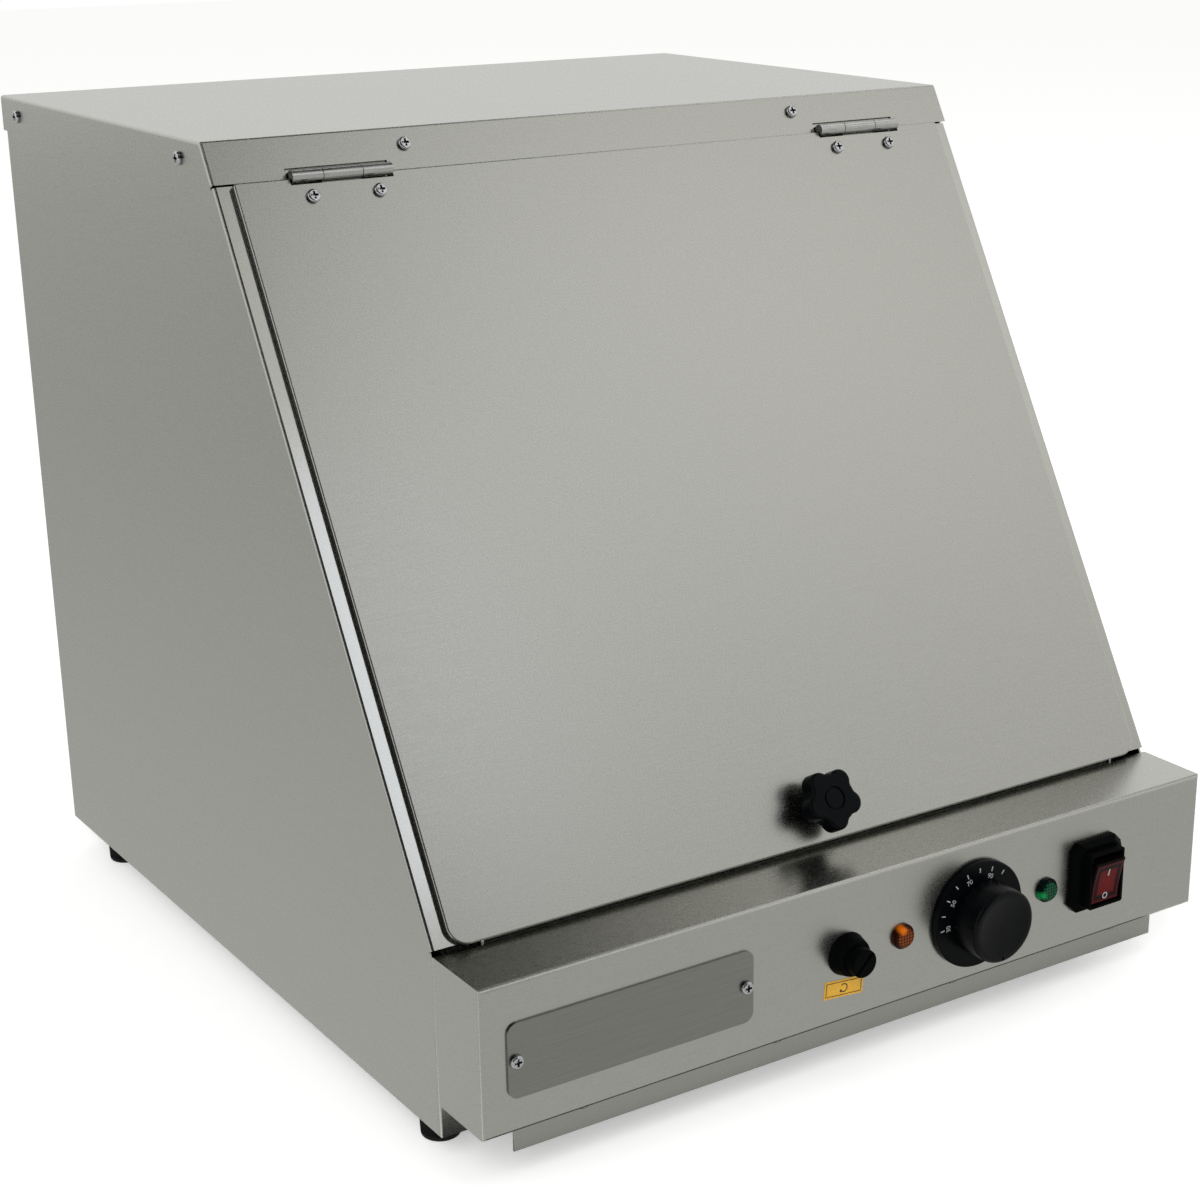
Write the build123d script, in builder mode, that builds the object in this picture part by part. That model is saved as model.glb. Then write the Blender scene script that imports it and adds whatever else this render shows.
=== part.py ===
"""Chip scuttle: a heated counter-top cabinet of satin stainless sheet.

Millimetres, +Z up. The front faces -Y. The origin is on the floor under the middle of the whole
part, from the front of the dial to the back of the cable gland.
The lid lies on the long front slope, and a control console runs across the foot of the front.
"""

import os
from math import cos, radians, sin, tan

from build123d import *

os.makedirs("parts", exist_ok=True)

# Cabinet

body_width = 500.0
body_depth = 526.0
overall_height = 512.0
foot_height = 22.0
sill_height = 128.0
slope_angle = 60.0
sheet = 1.2
bend_radius = 1.8
side_flange = 30.0
relief_height = 2.0
relief_margin = 1.5
cover_slot_height = 1.4
seat_gap = 0.3
cut_reach = 5.0

# Top cover

cover_drop = 21.5
cover_screw_drop = 11.0
cover_screw_inset = 117.0
cover_side_screw_inset = 27.0
cover_notch = 5.4

# Lid

lid_side_margin = 10.0
lid_top_gap = 1.4
lid_foot_gap = 0.4
lid_rise = 4.0
lid_corner_radius = 11.0
lid_edge_radius = 1.0
liner_inset = 30.0
liner_top_inset = 30.0
liner_foot_inset = 43.0
liner_depth = 12.0
liner_rim = 12.0
liner_sheet = 1.0

# Hinges

hinge_inset = 63.0
hinge_rise = 4.4
hinge_notch = 4.0
hinge_notch_slack = 0.7
knuckle_radius = 3.4
knuckle_outer = 18.0
knuckle_middle = 23.2
knuckle_gap = 0.4
pin_radius = 1.6
pin_clearance = 0.05
leaf_sheet = 1.2
leaf_height = 17.0
hinge_screw_spread = 20.0
hinge_screw_drop = 12.0
rivet_radius = 2.0
rivet_tail_radius = 3.2
rivet_rise = 10.0

# Star knob

knob_drop = 21.5
knob_radius = 18.0
knob_lobes = 5
knob_lobe_start = -22.0
knob_lobe_radius = 6.5
knob_waist_radius = 14.3
knob_valley_radius = 4.0
knob_edge_radius = 2.0
knob_hub_radius = 9.5
knob_hub_height = 9.5
knob_head_height = 10.0
knob_cap_radius = 5.6
knob_ring_width = 1.2
knob_cap_depth = 1.2
stud_radius = 2.5
stud_bite = 8.0

# Header and sill

header_depth = 40.0
header_flange = 30.0
sill_flange = 18.0

# Console

console_depth = 46.5
console_bottom = 42.0
console_top = 127.0
console_return = 12.0
console_bend = 2.4
console_rear_round = 1.0
console_screw_inset = 62.5
console_screw_count = 4
control_height = 83.0

# Blank plate

plate_inset = 90.8
plate_width = 152.0
plate_height = 42.5
plate_corner = 6.0
plate_screw_inset = 4.8
plate_window_margin = 12.0

# Reset

reset_inset = 269.0
reset_collar_radius = 12.75
reset_collar_top_radius = 10.6
reset_collar_height = 8.5
reset_collar_floor = 2.5
reset_bore_radius = 7.0
reset_cap_radius = 8.25
reset_cap_height = 7.4
reset_cap_slot = 1.8
reset_cap_slot_depth = 1.2
reset_cap_slot_angle = 45.0
reset_spigot_radius = 6.8
reset_spigot_wall = 1.6
reset_spigot_length = 4.2
reset_bushing_radius = 5.5
reset_button_radius = 3.2
reset_button_rise = 3.9
limiter_width = 30.0
limiter_height = 34.0
limiter_depth = 28.0
label_width = 27.0
label_height = 10.5
label_thickness = 0.2
label_drop = 20.2
label_shift = -1.8
label_tilt = -5.0

# Lamps

lamp_spread = 54.0
lamp_radius = 7.4
lamp_flange = 1.6
lamp_dome = 3.0
lamp_stem_radius = 4.8
lamp_stem_length = 9.0
lamp_nut_radius = 7.2
lamp_nut_height = 5.0
lamp_body_length = 24.0

# Thermostat

dial_inset = 176.0
skirt_radius = 32.2
skirt_gap = 0.6
skirt_height = 3.2
skirt_plate = 1.4
skirt_rim = 2.0
grip_radius = 22.0
grip_height = 21.0
grip_gap = 4.2
grip_neck_radius = 15.0
grip_taper = 0.6
grip_edge = 2.0
grip_dish_radius = 18.0
grip_dish_depth = 1.6
grip_mark_depth = 0.8
shaft_radius = 3.0
shaft_bite = 12.0
shaft_hole_radius = 3.8
thermostat_width = 44.0
thermostat_height = 36.0
thermostat_depth = 32.0
thermostat_screw_spread = 14.0

# Rocker switch

switch_inset = 85.5
switch_rise = 2.0
switch_width = 38.0
switch_height = 44.0
switch_base = 3.0
switch_bevel_height = 3.5
switch_bevel_inset = 2.4
switch_corner = 5.0
switch_collar_wall = 1.6
switch_collar_height = 12.5
switch_body_width = 26.0
switch_body_height = 34.0
switch_body_depth = 26.0
rocker_width = 22.5
rocker_height = 28.0
rocker_front = 14.0
rocker_pivot = 4.0
rocker_tilt = 10.0
rocker_dish = 1.2
rocker_side_gap = 0.4
rocker_swing_gap = 1.7
rocker_axle_radius = 1.5
rocker_axle_length = 1.6

# Crumb tray

crumb_lip_inset = 23.5
crumb_lip_rise = 2.0
crumb_lip_height = 15.0
crumb_lip_setback = 10.5
crumb_inset = 36.0
crumb_wall = 11.0
crumb_sheet = 1.2
runner_gap = 0.6
runner_flange = 8.0
runner_hook = 6.0
runner_inset = 8.0
slot_clearance = 1.2
slot_headroom = 4.8

# Chip pan

pan_floor_height = 121.3
pan_inset = 34.0
pan_wall = 20.0
pan_front_lip = 8.0
pan_front_inset = 23.0
pan_wall_setback = 16.0
pan_rear_inset = 14.0
pan_hole_radius = 4.0
pan_hole_pitch = 32.0
pan_hole_margin = 20.0
rail_drop = 20.0
rail_bite = 9.2
rail_front_inset = 28.0
rail_rear_inset = 20.0

# Heating

element_radius = 4.0
element_height = 75.0
element_corner = 20.0
element_left_inset = 50.0
element_right_inset = 70.0
element_turn = 60.0
element_rear_inset = 63.0
element_front_turn_inset = 103.0
element_rear_turn_inset = 183.0
element_tail = 14.0
terminal_radius = 2.0
terminal_length = 12.0
gland_nut_radius = 8.0
gland_nut_height = 4.0
support_width = 12.0
support_sheet = 1.5
support_inset = 36.0
support_front_inset = 153.0
support_rear_inset = 213.0
shield_height = 46.0
shield_flange = 12.0

# Sensing bulbs

bulb_radius = 3.0
bulb_length = 90.0
bulb_height = 96.0
bulb_setback = 26.0
capillary_radius = 1.0
capillary_bend = 10.0
clip_width = 1.5
clip_height = 12.0
clip_inset = 15.0

# Back panel

back_flange = 14.0
vent_count = 7
vent_pitch = 22.0
vent_width = 6.0
vent_height = 36.0
vent_z = 84.0
cable_inset = 60.0
cable_z = 70.0
cable_bore_radius = 4.5
cable_body_radius = 8.0
cable_flange_radius = 11.0
cable_flange_height = 6.0
cable_thread_length = 12.0
cable_nut_height = 4.0

# Terminal block

block_x = -130.0
block_length = 64.0
block_width = 18.0
block_height = 16.0
block_ways = 6
block_screw_radius = 2.2

# Feet

foot_inset = 21.0
foot_setback = 39.0
foot_radius = 12.0
foot_tread_radius = 11.0
foot_edge = 2.0
foot_screw_depth = 10.0
foot_well_radius = 5.0

# Screws

screw_radius = 2.0
screw_clearance = 0.2
screw_head_radius = 3.8
screw_head_height = 2.4
screw_length = 8.0
screw_recess = 1.6
recess_width = 1.3
recess_length = 4.4
foot_screw_radius = 2.5
foot_head_radius = 4.5
foot_nut_radius = 4.4
foot_nut_height = 4.0

# Places that follow from the sizes

half_width = body_width / 2
inner_x = half_width - sheet
skirt_top = skirt_gap + skirt_height
grip_top = skirt_top + grip_height
front_reach = console_depth + grip_top
rear_reach = cable_flange_height - sheet
middle_y = (front_reach - rear_reach) / 2
front_y = middle_y - body_depth / 2
back_y = middle_y + body_depth / 2
slope = radians(slope_angle)
body_top = overall_height - sheet
slope_length = (overall_height - sill_height) / sin(slope)
panel_front_y = front_y + sheet
panel_back_y = front_y + 2 * sheet
back_inner_y = back_y - 2 * sheet
base_bottom = foot_height + sheet
base_top = base_bottom + sheet
cover_edge = slope_length - cover_drop / sin(slope)
lid_top = cover_edge - lid_top_gap
lid_half_width = half_width - lid_side_margin
cover_screw_x = half_width - cover_screw_inset
hinge_x = lid_half_width - hinge_inset
hinge_v = (cover_edge + lid_top) / 2
hinge_half = knuckle_outer + knuckle_gap + knuckle_middle / 2
hinge_screw_v = hinge_v - hinge_screw_drop
console_front_y = front_y - console_depth
jamb_inner = half_width - side_flange
plate_x = plate_inset - half_width
reset_x = half_width - reset_inset
dial_x = half_width - dial_inset
switch_x = half_width - switch_inset
console_screw_pitch = 2 * (half_width - console_screw_inset) / (console_screw_count - 1)
crumb_half_width = half_width - crumb_inset
pan_half_width = half_width - pan_inset
rail_ledge = inner_x - pan_half_width + rail_bite
element_outer_x = half_width - element_left_inset
element_right_x = half_width - element_right_inset
element_end_x = element_right_x - 4 * element_turn
cable_x = half_width - cable_inset
foot_x = half_width - foot_inset
foot_y = body_depth / 2 - foot_setback
foot_places = [(x, middle_y + y) for x in (-foot_x, foot_x) for y in (-foot_y, foot_y)]
screw_hole = screw_radius + screw_clearance


def slope_y(z, inset=0.0):
    """Y of the slope at height z, for a surface lying inset behind the slope."""
    return front_y + (z - sill_height) / tan(slope) + inset / sin(slope)


# The slope's plane: x across, y up the slope from the sill line, z out of the cabinet
slope_plane = Plane(
    origin=(0, front_y, sill_height),
    x_dir=(1, 0, 0),
    z_dir=(0, -sin(slope), cos(slope)),
)

# The console's front: x across, y up from the controls' centre line, z out towards the user
face_plane = Plane(
    origin=(0, console_front_y, control_height),
    x_dir=(1, 0, 0),
    z_dir=(0, -1, 0),
)


def plane_at(plane, x, y, z):
    """The plane moved to a point given in its own coordinates."""
    return Plane(origin=plane.from_local_coords((x, y, z)), x_dir=plane.x_dir, z_dir=plane.z_dir)


def block(x_span, y_span, z_span, mode=Mode.ADD):
    """A box between three pairs of limits, in the plane of the part being built."""
    middle = (sum(x_span) / 2, sum(y_span) / 2, sum(z_span) / 2)
    with Locations(middle):
        Box(x_span[1] - x_span[0], y_span[1] - y_span[0], z_span[1] - z_span[0], mode=mode)


def pillar(radius, z_span, mode=Mode.ADD):
    """A round bar between two heights, in the plane of the part being built."""
    with Locations((0, 0, z_span[0])):
        Cylinder(
            radius,
            z_span[1] - z_span[0],
            align=(Align.CENTER, Align.CENTER, Align.MIN),
            mode=mode,
        )


def pan_screw(plane, places, radius, head_radius, length):
    """Pan-head screws with a cross recess, head on the plane and shank behind it."""
    with BuildPart(plane) as screws:
        with Locations(*places):
            pillar(radius, (-length, 0))
            pillar(head_radius, (0, screw_head_height))
        crowns = screws.edges().filter_by(GeomType.CIRCLE)
        crowns = [edge for edge in crowns if abs(edge.radius - head_radius) < screw_clearance / 2]
        tops = [edge for edge in crowns if plane.to_local_coords(edge.center()).Z > screw_head_height / 2]
        fillet(tops, radius=screw_head_height / 2)
        with Locations(*[(x, y, screw_head_height - screw_recess / 2) for x, y in places]):
            Box(recess_length, recess_width, screw_recess, mode=Mode.SUBTRACT)
            Box(recess_width, recess_length, screw_recess, mode=Mode.SUBTRACT)
    return screws.part


# Side panels: a folded tray each, skin outside and a flange all round, with relief slots across the
# sloping flange at its lower bend and just under the cover's edge

with BuildPart(slope_plane) as flange_reliefs:
    for side in (-1, 1):
        for span in ((-relief_height / 2, relief_height), (cover_edge - cover_slot_height, cover_edge)):
            block(
                sorted((side * (jamb_inner + relief_margin), side * (half_width + sheet))),
                span,
                (-3 * sheet, sheet),
            )

with BuildPart() as right_side:
    with BuildSketch(Plane.YZ.offset(jamb_inner)) as side_outline:
        with BuildLine():
            Polyline(
                (back_y, foot_height),
                (front_y, foot_height),
                (front_y, sill_height),
                (slope_y(body_top), body_top),
                (back_y, body_top),
                close=True,
            )
        make_face()
    extrude(amount=side_flange)
    skin_edges = right_side.faces().sort_by(Axis.X)[-1].edges()
    fillet(skin_edges, radius=bend_radius)
    with BuildSketch(Plane.YZ.offset(jamb_inner)):
        add(side_outline.sketch_local)
        offset(amount=-sheet, kind=Kind.INTERSECTION, mode=Mode.REPLACE)
    extrude(amount=side_flange - sheet, mode=Mode.SUBTRACT)
    for y in (middle_y - foot_y, middle_y + foot_y):
        with Locations((foot_x, y, foot_height)):
            Cylinder(foot_screw_radius + screw_clearance, cut_reach, mode=Mode.SUBTRACT)
    for y in (back_y - cover_side_screw_inset, slope_y(body_top) + cover_side_screw_inset):
        with Locations(Location((half_width, y, overall_height - cover_screw_drop), (0, 90, 0))):
            Cylinder(screw_hole, cut_reach, mode=Mode.SUBTRACT)
    for z in (console_bottom + console_return, console_top - console_return):
        with Locations(Location((half_width - console_return / 2, front_y, z), (90, 0, 0))):
            Cylinder(screw_hole, cut_reach, mode=Mode.SUBTRACT)
    add(flange_reliefs.part, mode=Mode.SUBTRACT)
right_side.part.label = "right_side"
export_step(right_side.part, "parts/right_side.step")

with BuildPart() as left_side:
    mirror(right_side.part, about=Plane.YZ)
left_side.part.label = "left_side"
export_step(left_side.part, "parts/left_side.step")

# Back panel, behind the side panels' rear flanges, with its top edge folded forward

with BuildPart() as back_panel:
    block((-inner_x, inner_x), (back_inner_y, back_inner_y + sheet), (base_bottom, body_top - sheet))
    block(
        (-inner_x, inner_x),
        (back_inner_y - back_flange, back_inner_y),
        (body_top - 2 * sheet, body_top - sheet),
    )
    with BuildSketch(Plane.XZ.offset(-back_y)):
        with Locations((0, vent_z)):
            with GridLocations(vent_pitch, 1, vent_count, 1):
                SlotOverall(vent_height, vent_width, rotation=90)
        with Locations((cable_x, cable_z)):
            Circle(cable_body_radius + screw_clearance)
    extrude(amount=cut_reach, mode=Mode.SUBTRACT)
back_panel.part.label = "back_panel"
export_step(back_panel.part, "parts/back_panel.step")

# Base pan, on the side panels' bottom flanges, with its rear edge folded up

with BuildPart() as base_pan:
    block((-inner_x, inner_x), (panel_back_y, back_inner_y), (base_bottom, base_top))
    block(
        (-inner_x, inner_x),
        (back_inner_y - sheet, back_inner_y),
        (base_top, base_top + header_flange / 2),
    )
    with Locations(*foot_places):
        Cylinder(foot_screw_radius + screw_clearance, 2 * base_top + cut_reach, mode=Mode.SUBTRACT)
base_pan.part.label = "base_pan"
export_step(base_pan.part, "parts/base_pan.step")

# Front panel behind the console, with its top edge folded back up the slope as the sill

crumb_slot_half = crumb_half_width + runner_gap + slot_clearance
crumb_slot_top = base_top + seat_gap + crumb_wall + slot_headroom
panel_corner_z = sill_height - sheet * (1 - sin(slope)) / cos(slope)
sill_start = sheet * (1 - sin(slope)) / cos(slope)
with BuildPart(slope_plane) as sill:
    block((-inner_x, inner_x), (sill_start, sill_flange), (-2 * sheet, -sheet))

with BuildPart() as front_panel:
    block((-inner_x, inner_x), (panel_front_y, panel_back_y), (base_bottom, panel_corner_z))
    add(sill.part)
    block(
        (-crumb_slot_half, crumb_slot_half),
        (front_y, front_y + cut_reach),
        (foot_height, crumb_slot_top),
        mode=Mode.SUBTRACT,
    )
    with BuildSketch(Plane.XZ.offset(-front_y)):
        with Locations((-element_outer_x, element_height), (element_end_x, element_height)):
            Circle(element_radius + screw_clearance)
        with Locations((dial_x, bulb_height), (reset_x, bulb_height)):
            Circle(capillary_radius + screw_clearance)
    extrude(amount=-cut_reach, mode=Mode.SUBTRACT)
    for x in (-half_width + console_return / 2, half_width - console_return / 2):
        for z in (console_bottom + console_return, console_top - console_return):
            with Locations(Location((x, front_y, z), (90, 0, 0))):
                Cylinder(screw_hole, 2 * cut_reach, mode=Mode.SUBTRACT)
    add(flange_reliefs.part, mode=Mode.SUBTRACT)
front_panel.part.label = "front_panel"
export_step(front_panel.part, "parts/front_panel.step")

# Header across the top of the lid opening: it carries the hinges and the cover's front flange

rivet_places = [
    (x + side, hinge_v + rivet_rise)
    for x in (-hinge_x, hinge_x)
    for side in (-hinge_screw_spread, hinge_screw_spread)
]
header_top_v = slope_length - 3 * sheet
header_bottom_v = slope_length - header_depth
with BuildPart(slope_plane) as header_face:
    block((-inner_x, inner_x), (header_bottom_v, header_top_v), (-2 * sheet, -sheet))
    block(
        (-jamb_inner, jamb_inner),
        (header_bottom_v, header_bottom_v + sheet),
        (-console_return, -2 * sheet),
    )
    with Locations(*[(x, slope_length - cover_screw_drop) for x in (-cover_screw_x, cover_screw_x)]):
        pillar(screw_hole, (-cut_reach, 0), mode=Mode.SUBTRACT)
    with Locations(*rivet_places):
        pillar(rivet_radius, (-cut_reach, 0), mode=Mode.SUBTRACT)

with BuildPart() as header:
    add(header_face.part)
    with BuildSketch(Plane.YZ.offset(-inner_x)):
        with BuildLine():
            Polyline(
                (slope_y(body_top - sheet, sheet), body_top - sheet),
                (slope_y(body_top - 4 * sheet, sheet), body_top - 4 * sheet),
                (slope_y(body_top - 4 * sheet, 2 * sheet), body_top - 4 * sheet),
                (slope_y(body_top - 2 * sheet, 2 * sheet), body_top - 2 * sheet),
                (slope_y(body_top) + header_flange, body_top - 2 * sheet),
                (slope_y(body_top) + header_flange, body_top - sheet),
                close=True,
            )
        make_face()
    extrude(amount=2 * inner_x)
    add(flange_reliefs.part, mode=Mode.SUBTRACT)
header.part.label = "header"
export_step(header.part, "parts/header.step")

# Top cover: a folded tray whose front flange lies in the slope

cover_bottom = overall_height - cover_drop


def cover_outline(inset):
    """Outline of the cover seen from the side, a given depth inside its outer faces."""
    top = overall_height - inset
    out = sheet - inset
    return (
        (back_y + out, cover_bottom),
        (back_y + out, top),
        (slope_y(top, -out), top),
        (slope_y(cover_bottom, -out), cover_bottom),
    )


with BuildPart() as top_cover:
    with BuildSketch(Plane.YZ.offset(-half_width - sheet)):
        with BuildLine():
            Polyline(*cover_outline(0), close=True)
        make_face()
    extrude(amount=body_width + 2 * sheet)
    top_edges = top_cover.faces().sort_by(Axis.Z)[-1].edges()
    corner_edges = top_cover.edges().filter_by(Axis(slope_plane.origin, slope_plane.y_dir))
    fillet(top_edges + corner_edges, radius=bend_radius)
    with BuildSketch(Plane.YZ.offset(-half_width)):
        with BuildLine():
            Polyline(*cover_outline(sheet), close=True)
        make_face()
    extrude(amount=body_width, mode=Mode.SUBTRACT)
    for x in (-hinge_x, hinge_x):
        with BuildSketch(slope_plane.offset(-sheet)):
            with Locations((x, cover_edge)):
                Rectangle(2 * (hinge_half + hinge_notch_slack), 2 * cover_notch)
        extrude(amount=cut_reach, mode=Mode.SUBTRACT)
    with BuildSketch(slope_plane.offset(-sheet)):
        with Locations((0, slope_length - cover_screw_drop)):
            with GridLocations(2 * cover_screw_x, 1, 2, 1):
                Circle(screw_hole)
    extrude(amount=cut_reach, mode=Mode.SUBTRACT)
    for y in (back_y - cover_side_screw_inset, slope_y(body_top) + cover_side_screw_inset):
        with Locations(Location((0, y, overall_height - cover_screw_drop), (0, 90, 0))):
            Cylinder(screw_hole, body_width + cut_reach, mode=Mode.SUBTRACT)
top_cover.part.label = "top_cover"
export_step(top_cover.part, "parts/top_cover.step")

# Cover screws: two in the front flange and two in each side flange

cover_front_places = ((-cover_screw_x, 0), (cover_screw_x, 0))
cover_front_plane = plane_at(slope_plane, 0, slope_length - cover_screw_drop, sheet)
cover_rear_screw_y = back_y - cover_side_screw_inset
cover_fore_screw_y = slope_y(body_top) + cover_side_screw_inset
cover_screw_z = overall_height - cover_screw_drop
side_planes = [
    Plane(origin=(side * (half_width + sheet), 0, cover_screw_z), x_dir=(0, 1, 0), z_dir=(side, 0, 0))
    for side in (-1, 1)
]
side_places = ((cover_rear_screw_y, 0), (cover_fore_screw_y, 0))
with BuildPart() as cover_screws:
    add(pan_screw(cover_front_plane, cover_front_places, screw_radius, screw_head_radius, screw_length))
    for plane in side_planes:
        add(pan_screw(plane, side_places, screw_radius, screw_head_radius, screw_length))
cover_screws.part.label = "cover_screws"
export_step(cover_screws.part, "parts/cover_screws.step")

# Lid: a shallow pan lying on the jambs, open towards the cabinet

with BuildPart() as lid_panel:
    with BuildSketch(slope_plane.offset(seat_gap)) as lid_outline:
        with Locations((0, (lid_top + lid_foot_gap) / 2)):
            Rectangle(2 * lid_half_width, lid_top - lid_foot_gap)
        lower = lid_outline.vertices().group_by(Axis.Y)[0]
        fillet(lower, radius=lid_corner_radius)
        upper = lid_outline.vertices().group_by(Axis.Y)[-1]
        fillet(upper, radius=bend_radius)
    extrude(amount=lid_rise - seat_gap)
    rim = lid_panel.faces().filter_by(Axis(slope_plane.origin, slope_plane.z_dir)).sort_by(
        Axis(slope_plane.origin, slope_plane.z_dir)
    )[-1].edges()
    fillet(rim, radius=lid_edge_radius)
    with BuildSketch(slope_plane.offset(seat_gap)):
        add(lid_outline.sketch_local)
        offset(amount=-sheet, mode=Mode.REPLACE)
    extrude(amount=lid_rise - seat_gap - sheet, mode=Mode.SUBTRACT)
    with BuildSketch(slope_plane):
        for x in (-hinge_x, hinge_x):
            with Locations((x, lid_top)):
                Rectangle(2 * (hinge_half + hinge_notch_slack), 2 * hinge_notch)
            with Locations((x, hinge_screw_v)):
                with GridLocations(2 * hinge_screw_spread, 1, 2, 1):
                    Circle(screw_hole)
        with Locations((0, knob_drop)):
            Circle(stud_radius + screw_clearance)
    extrude(amount=2 * lid_rise, mode=Mode.SUBTRACT)
lid_panel.part.label = "lid_panel"
export_step(lid_panel.part, "parts/lid_panel.step")

# Lid liner: a plug sheet that hangs into the opening behind the lid

liner_half = lid_half_width - liner_inset
liner_low = liner_foot_inset
liner_high = lid_top - liner_top_inset
liner_top_face = lid_rise - sheet
with BuildPart(slope_plane) as lid_liner:
    block(
        (-liner_half - liner_rim, liner_half + liner_rim),
        (liner_low - liner_rim, liner_high + liner_rim),
        (liner_top_face - liner_sheet, liner_top_face),
    )
    block(
        (-liner_half, liner_half),
        (liner_low, liner_high),
        (liner_top_face - liner_depth, liner_top_face - liner_sheet),
    )
    block(
        (-liner_half + liner_sheet, liner_half - liner_sheet),
        (liner_low + liner_sheet, liner_high - liner_sheet),
        (liner_top_face - liner_depth + liner_sheet, liner_top_face),
        mode=Mode.SUBTRACT,
    )
    for x in (-hinge_x, hinge_x):
        block(
            (x - hinge_half - liner_rim, x + hinge_half + liner_rim),
            (hinge_v - leaf_height - 2 * hinge_notch, lid_top),
            (liner_top_face - 2 * liner_sheet, liner_top_face),
            mode=Mode.SUBTRACT,
        )
lid_liner.part.label = "lid_liner"
export_step(lid_liner.part, "parts/lid_liner.step")

# Hinges: outer knuckles on the fixed leaf, middle knuckle on the lid's leaf


def knuckle_axis_plane(x):
    """Plane across the hinge line at x, its z along the pin."""
    return Plane(
        origin=slope_plane.from_local_coords((x, hinge_v, hinge_rise)),
        x_dir=slope_plane.y_dir,
        z_dir=(1, 0, 0),
    )


def hinge_bar(x, radius, length):
    """A round bar along the hinge line, centred at x."""
    with BuildPart(knuckle_axis_plane(x)) as bar:
        pillar(radius, (-length / 2, length / 2))
    return bar.part


outer_offset = (knuckle_middle + knuckle_outer) / 2 + knuckle_gap
web_v = hinge_v + knuckle_radius
with BuildPart(slope_plane) as fixed_plates:
    for x in (-hinge_x, hinge_x):
        block(
            (x - hinge_half, x + hinge_half),
            (web_v - leaf_sheet, hinge_v + leaf_height),
            (-sheet, 0),
        )
        for side in (-outer_offset, outer_offset):
            block(
                (x + side - knuckle_outer / 2, x + side + knuckle_outer / 2),
                (web_v - leaf_sheet, web_v),
                (-sheet, hinge_rise),
            )
    with Locations(*rivet_places):
        pillar(rivet_radius, (-2 * sheet, sheet), mode=Mode.SUBTRACT)

with BuildPart() as fixed_leaves:
    add(fixed_plates.part)
    for x in (-hinge_x, hinge_x):
        for side in (-outer_offset, outer_offset):
            add(hinge_bar(x + side, knuckle_radius, knuckle_outer))
        add(hinge_bar(x, pin_radius, 2 * hinge_half), mode=Mode.SUBTRACT)
fixed_leaves.part.label = "fixed_leaves"
export_step(fixed_leaves.part, "parts/fixed_leaves.step")

with BuildPart(slope_plane) as lid_plates:
    for x in (-hinge_x, hinge_x):
        block(
            (x - hinge_half, x + hinge_half),
            (hinge_v - leaf_height, lid_top - hinge_notch),
            (liner_top_face - leaf_sheet, liner_top_face),
        )
        block(
            (x - knuckle_middle / 2, x + knuckle_middle / 2),
            (lid_top - hinge_notch, hinge_v),
            (liner_top_face - leaf_sheet, liner_top_face),
        )
        with Locations((x - hinge_screw_spread, hinge_screw_v), (x + hinge_screw_spread, hinge_screw_v)):
            pillar(screw_hole, (0, lid_rise), mode=Mode.SUBTRACT)

with BuildPart() as lid_leaves:
    add(lid_plates.part)
    for x in (-hinge_x, hinge_x):
        add(hinge_bar(x, knuckle_radius, knuckle_middle))
        add(hinge_bar(x, pin_radius + pin_clearance, 2 * hinge_half), mode=Mode.SUBTRACT)
lid_leaves.part.label = "lid_leaves"
export_step(lid_leaves.part, "parts/lid_leaves.step")

with BuildPart() as hinge_pins:
    for x in (-hinge_x, hinge_x):
        add(hinge_bar(x, pin_radius, 2 * hinge_half))
hinge_pins.part.label = "hinge_pins"
export_step(hinge_pins.part, "parts/hinge_pins.step")

with BuildPart(slope_plane) as leaf_rivets:
    with Locations(*rivet_places):
        pillar(rivet_radius, (-2 * sheet, 0))
        pillar(rivet_tail_radius, (-3 * sheet, -2 * sheet))
leaf_rivets.part.label = "leaf_rivets"
export_step(leaf_rivets.part, "parts/leaf_rivets.step")

hinge_places = [
    (x + side, hinge_screw_v)
    for x in (-hinge_x, hinge_x)
    for side in (-hinge_screw_spread, hinge_screw_spread)
]
hinge_screws = pan_screw(
    slope_plane.offset(lid_rise), hinge_places, screw_radius, screw_head_radius, lid_rise - seat_gap
)
hinge_screws.label = "hinge_screws"
export_step(hinge_screws, "parts/hinge_screws.step")

# Star knob near the foot of the lid, with its cap, stud and flanged nut

knob_plane = plane_at(slope_plane, 0, knob_drop, lid_rise)
knob_top = knob_hub_height + knob_head_height
lobe_ring = knob_radius - knob_lobe_radius
with BuildPart(knob_plane) as star_knob:
    pillar(knob_hub_radius, (0, knob_hub_height))
    with BuildSketch(knob_plane.offset(knob_hub_height)) as star:
        Circle(knob_waist_radius)
        with PolarLocations(lobe_ring, knob_lobes, start_angle=knob_lobe_start):
            Circle(knob_lobe_radius)
        fillet(star.vertices(), radius=knob_valley_radius)
    extrude(amount=knob_head_height)
    crown = star_knob.faces().filter_by(Axis(knob_plane.origin, knob_plane.z_dir)).sort_by(
        Axis(knob_plane.origin, knob_plane.z_dir)
    )[-1]
    fillet(crown.edges(), radius=knob_edge_radius)
    pillar(knob_cap_radius + knob_ring_width, (knob_top - knob_cap_depth, knob_top), mode=Mode.SUBTRACT)
    pillar(stud_radius, (0, knob_hub_height + stud_bite), mode=Mode.SUBTRACT)
star_knob.part.label = "star_knob"
export_step(star_knob.part, "parts/star_knob.step")

with BuildPart(knob_plane) as knob_cap:
    pillar(knob_cap_radius, (knob_top - knob_cap_depth, knob_top - seat_gap))
knob_cap.part.label = "knob_cap"
export_step(knob_cap.part, "parts/knob_cap.step")

with BuildPart(knob_plane) as knob_stud:
    pillar(stud_radius, (-sheet - foot_nut_height - sheet, knob_hub_height + stud_bite))
knob_stud.part.label = "knob_stud"
export_step(knob_stud.part, "parts/knob_stud.step")

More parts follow.
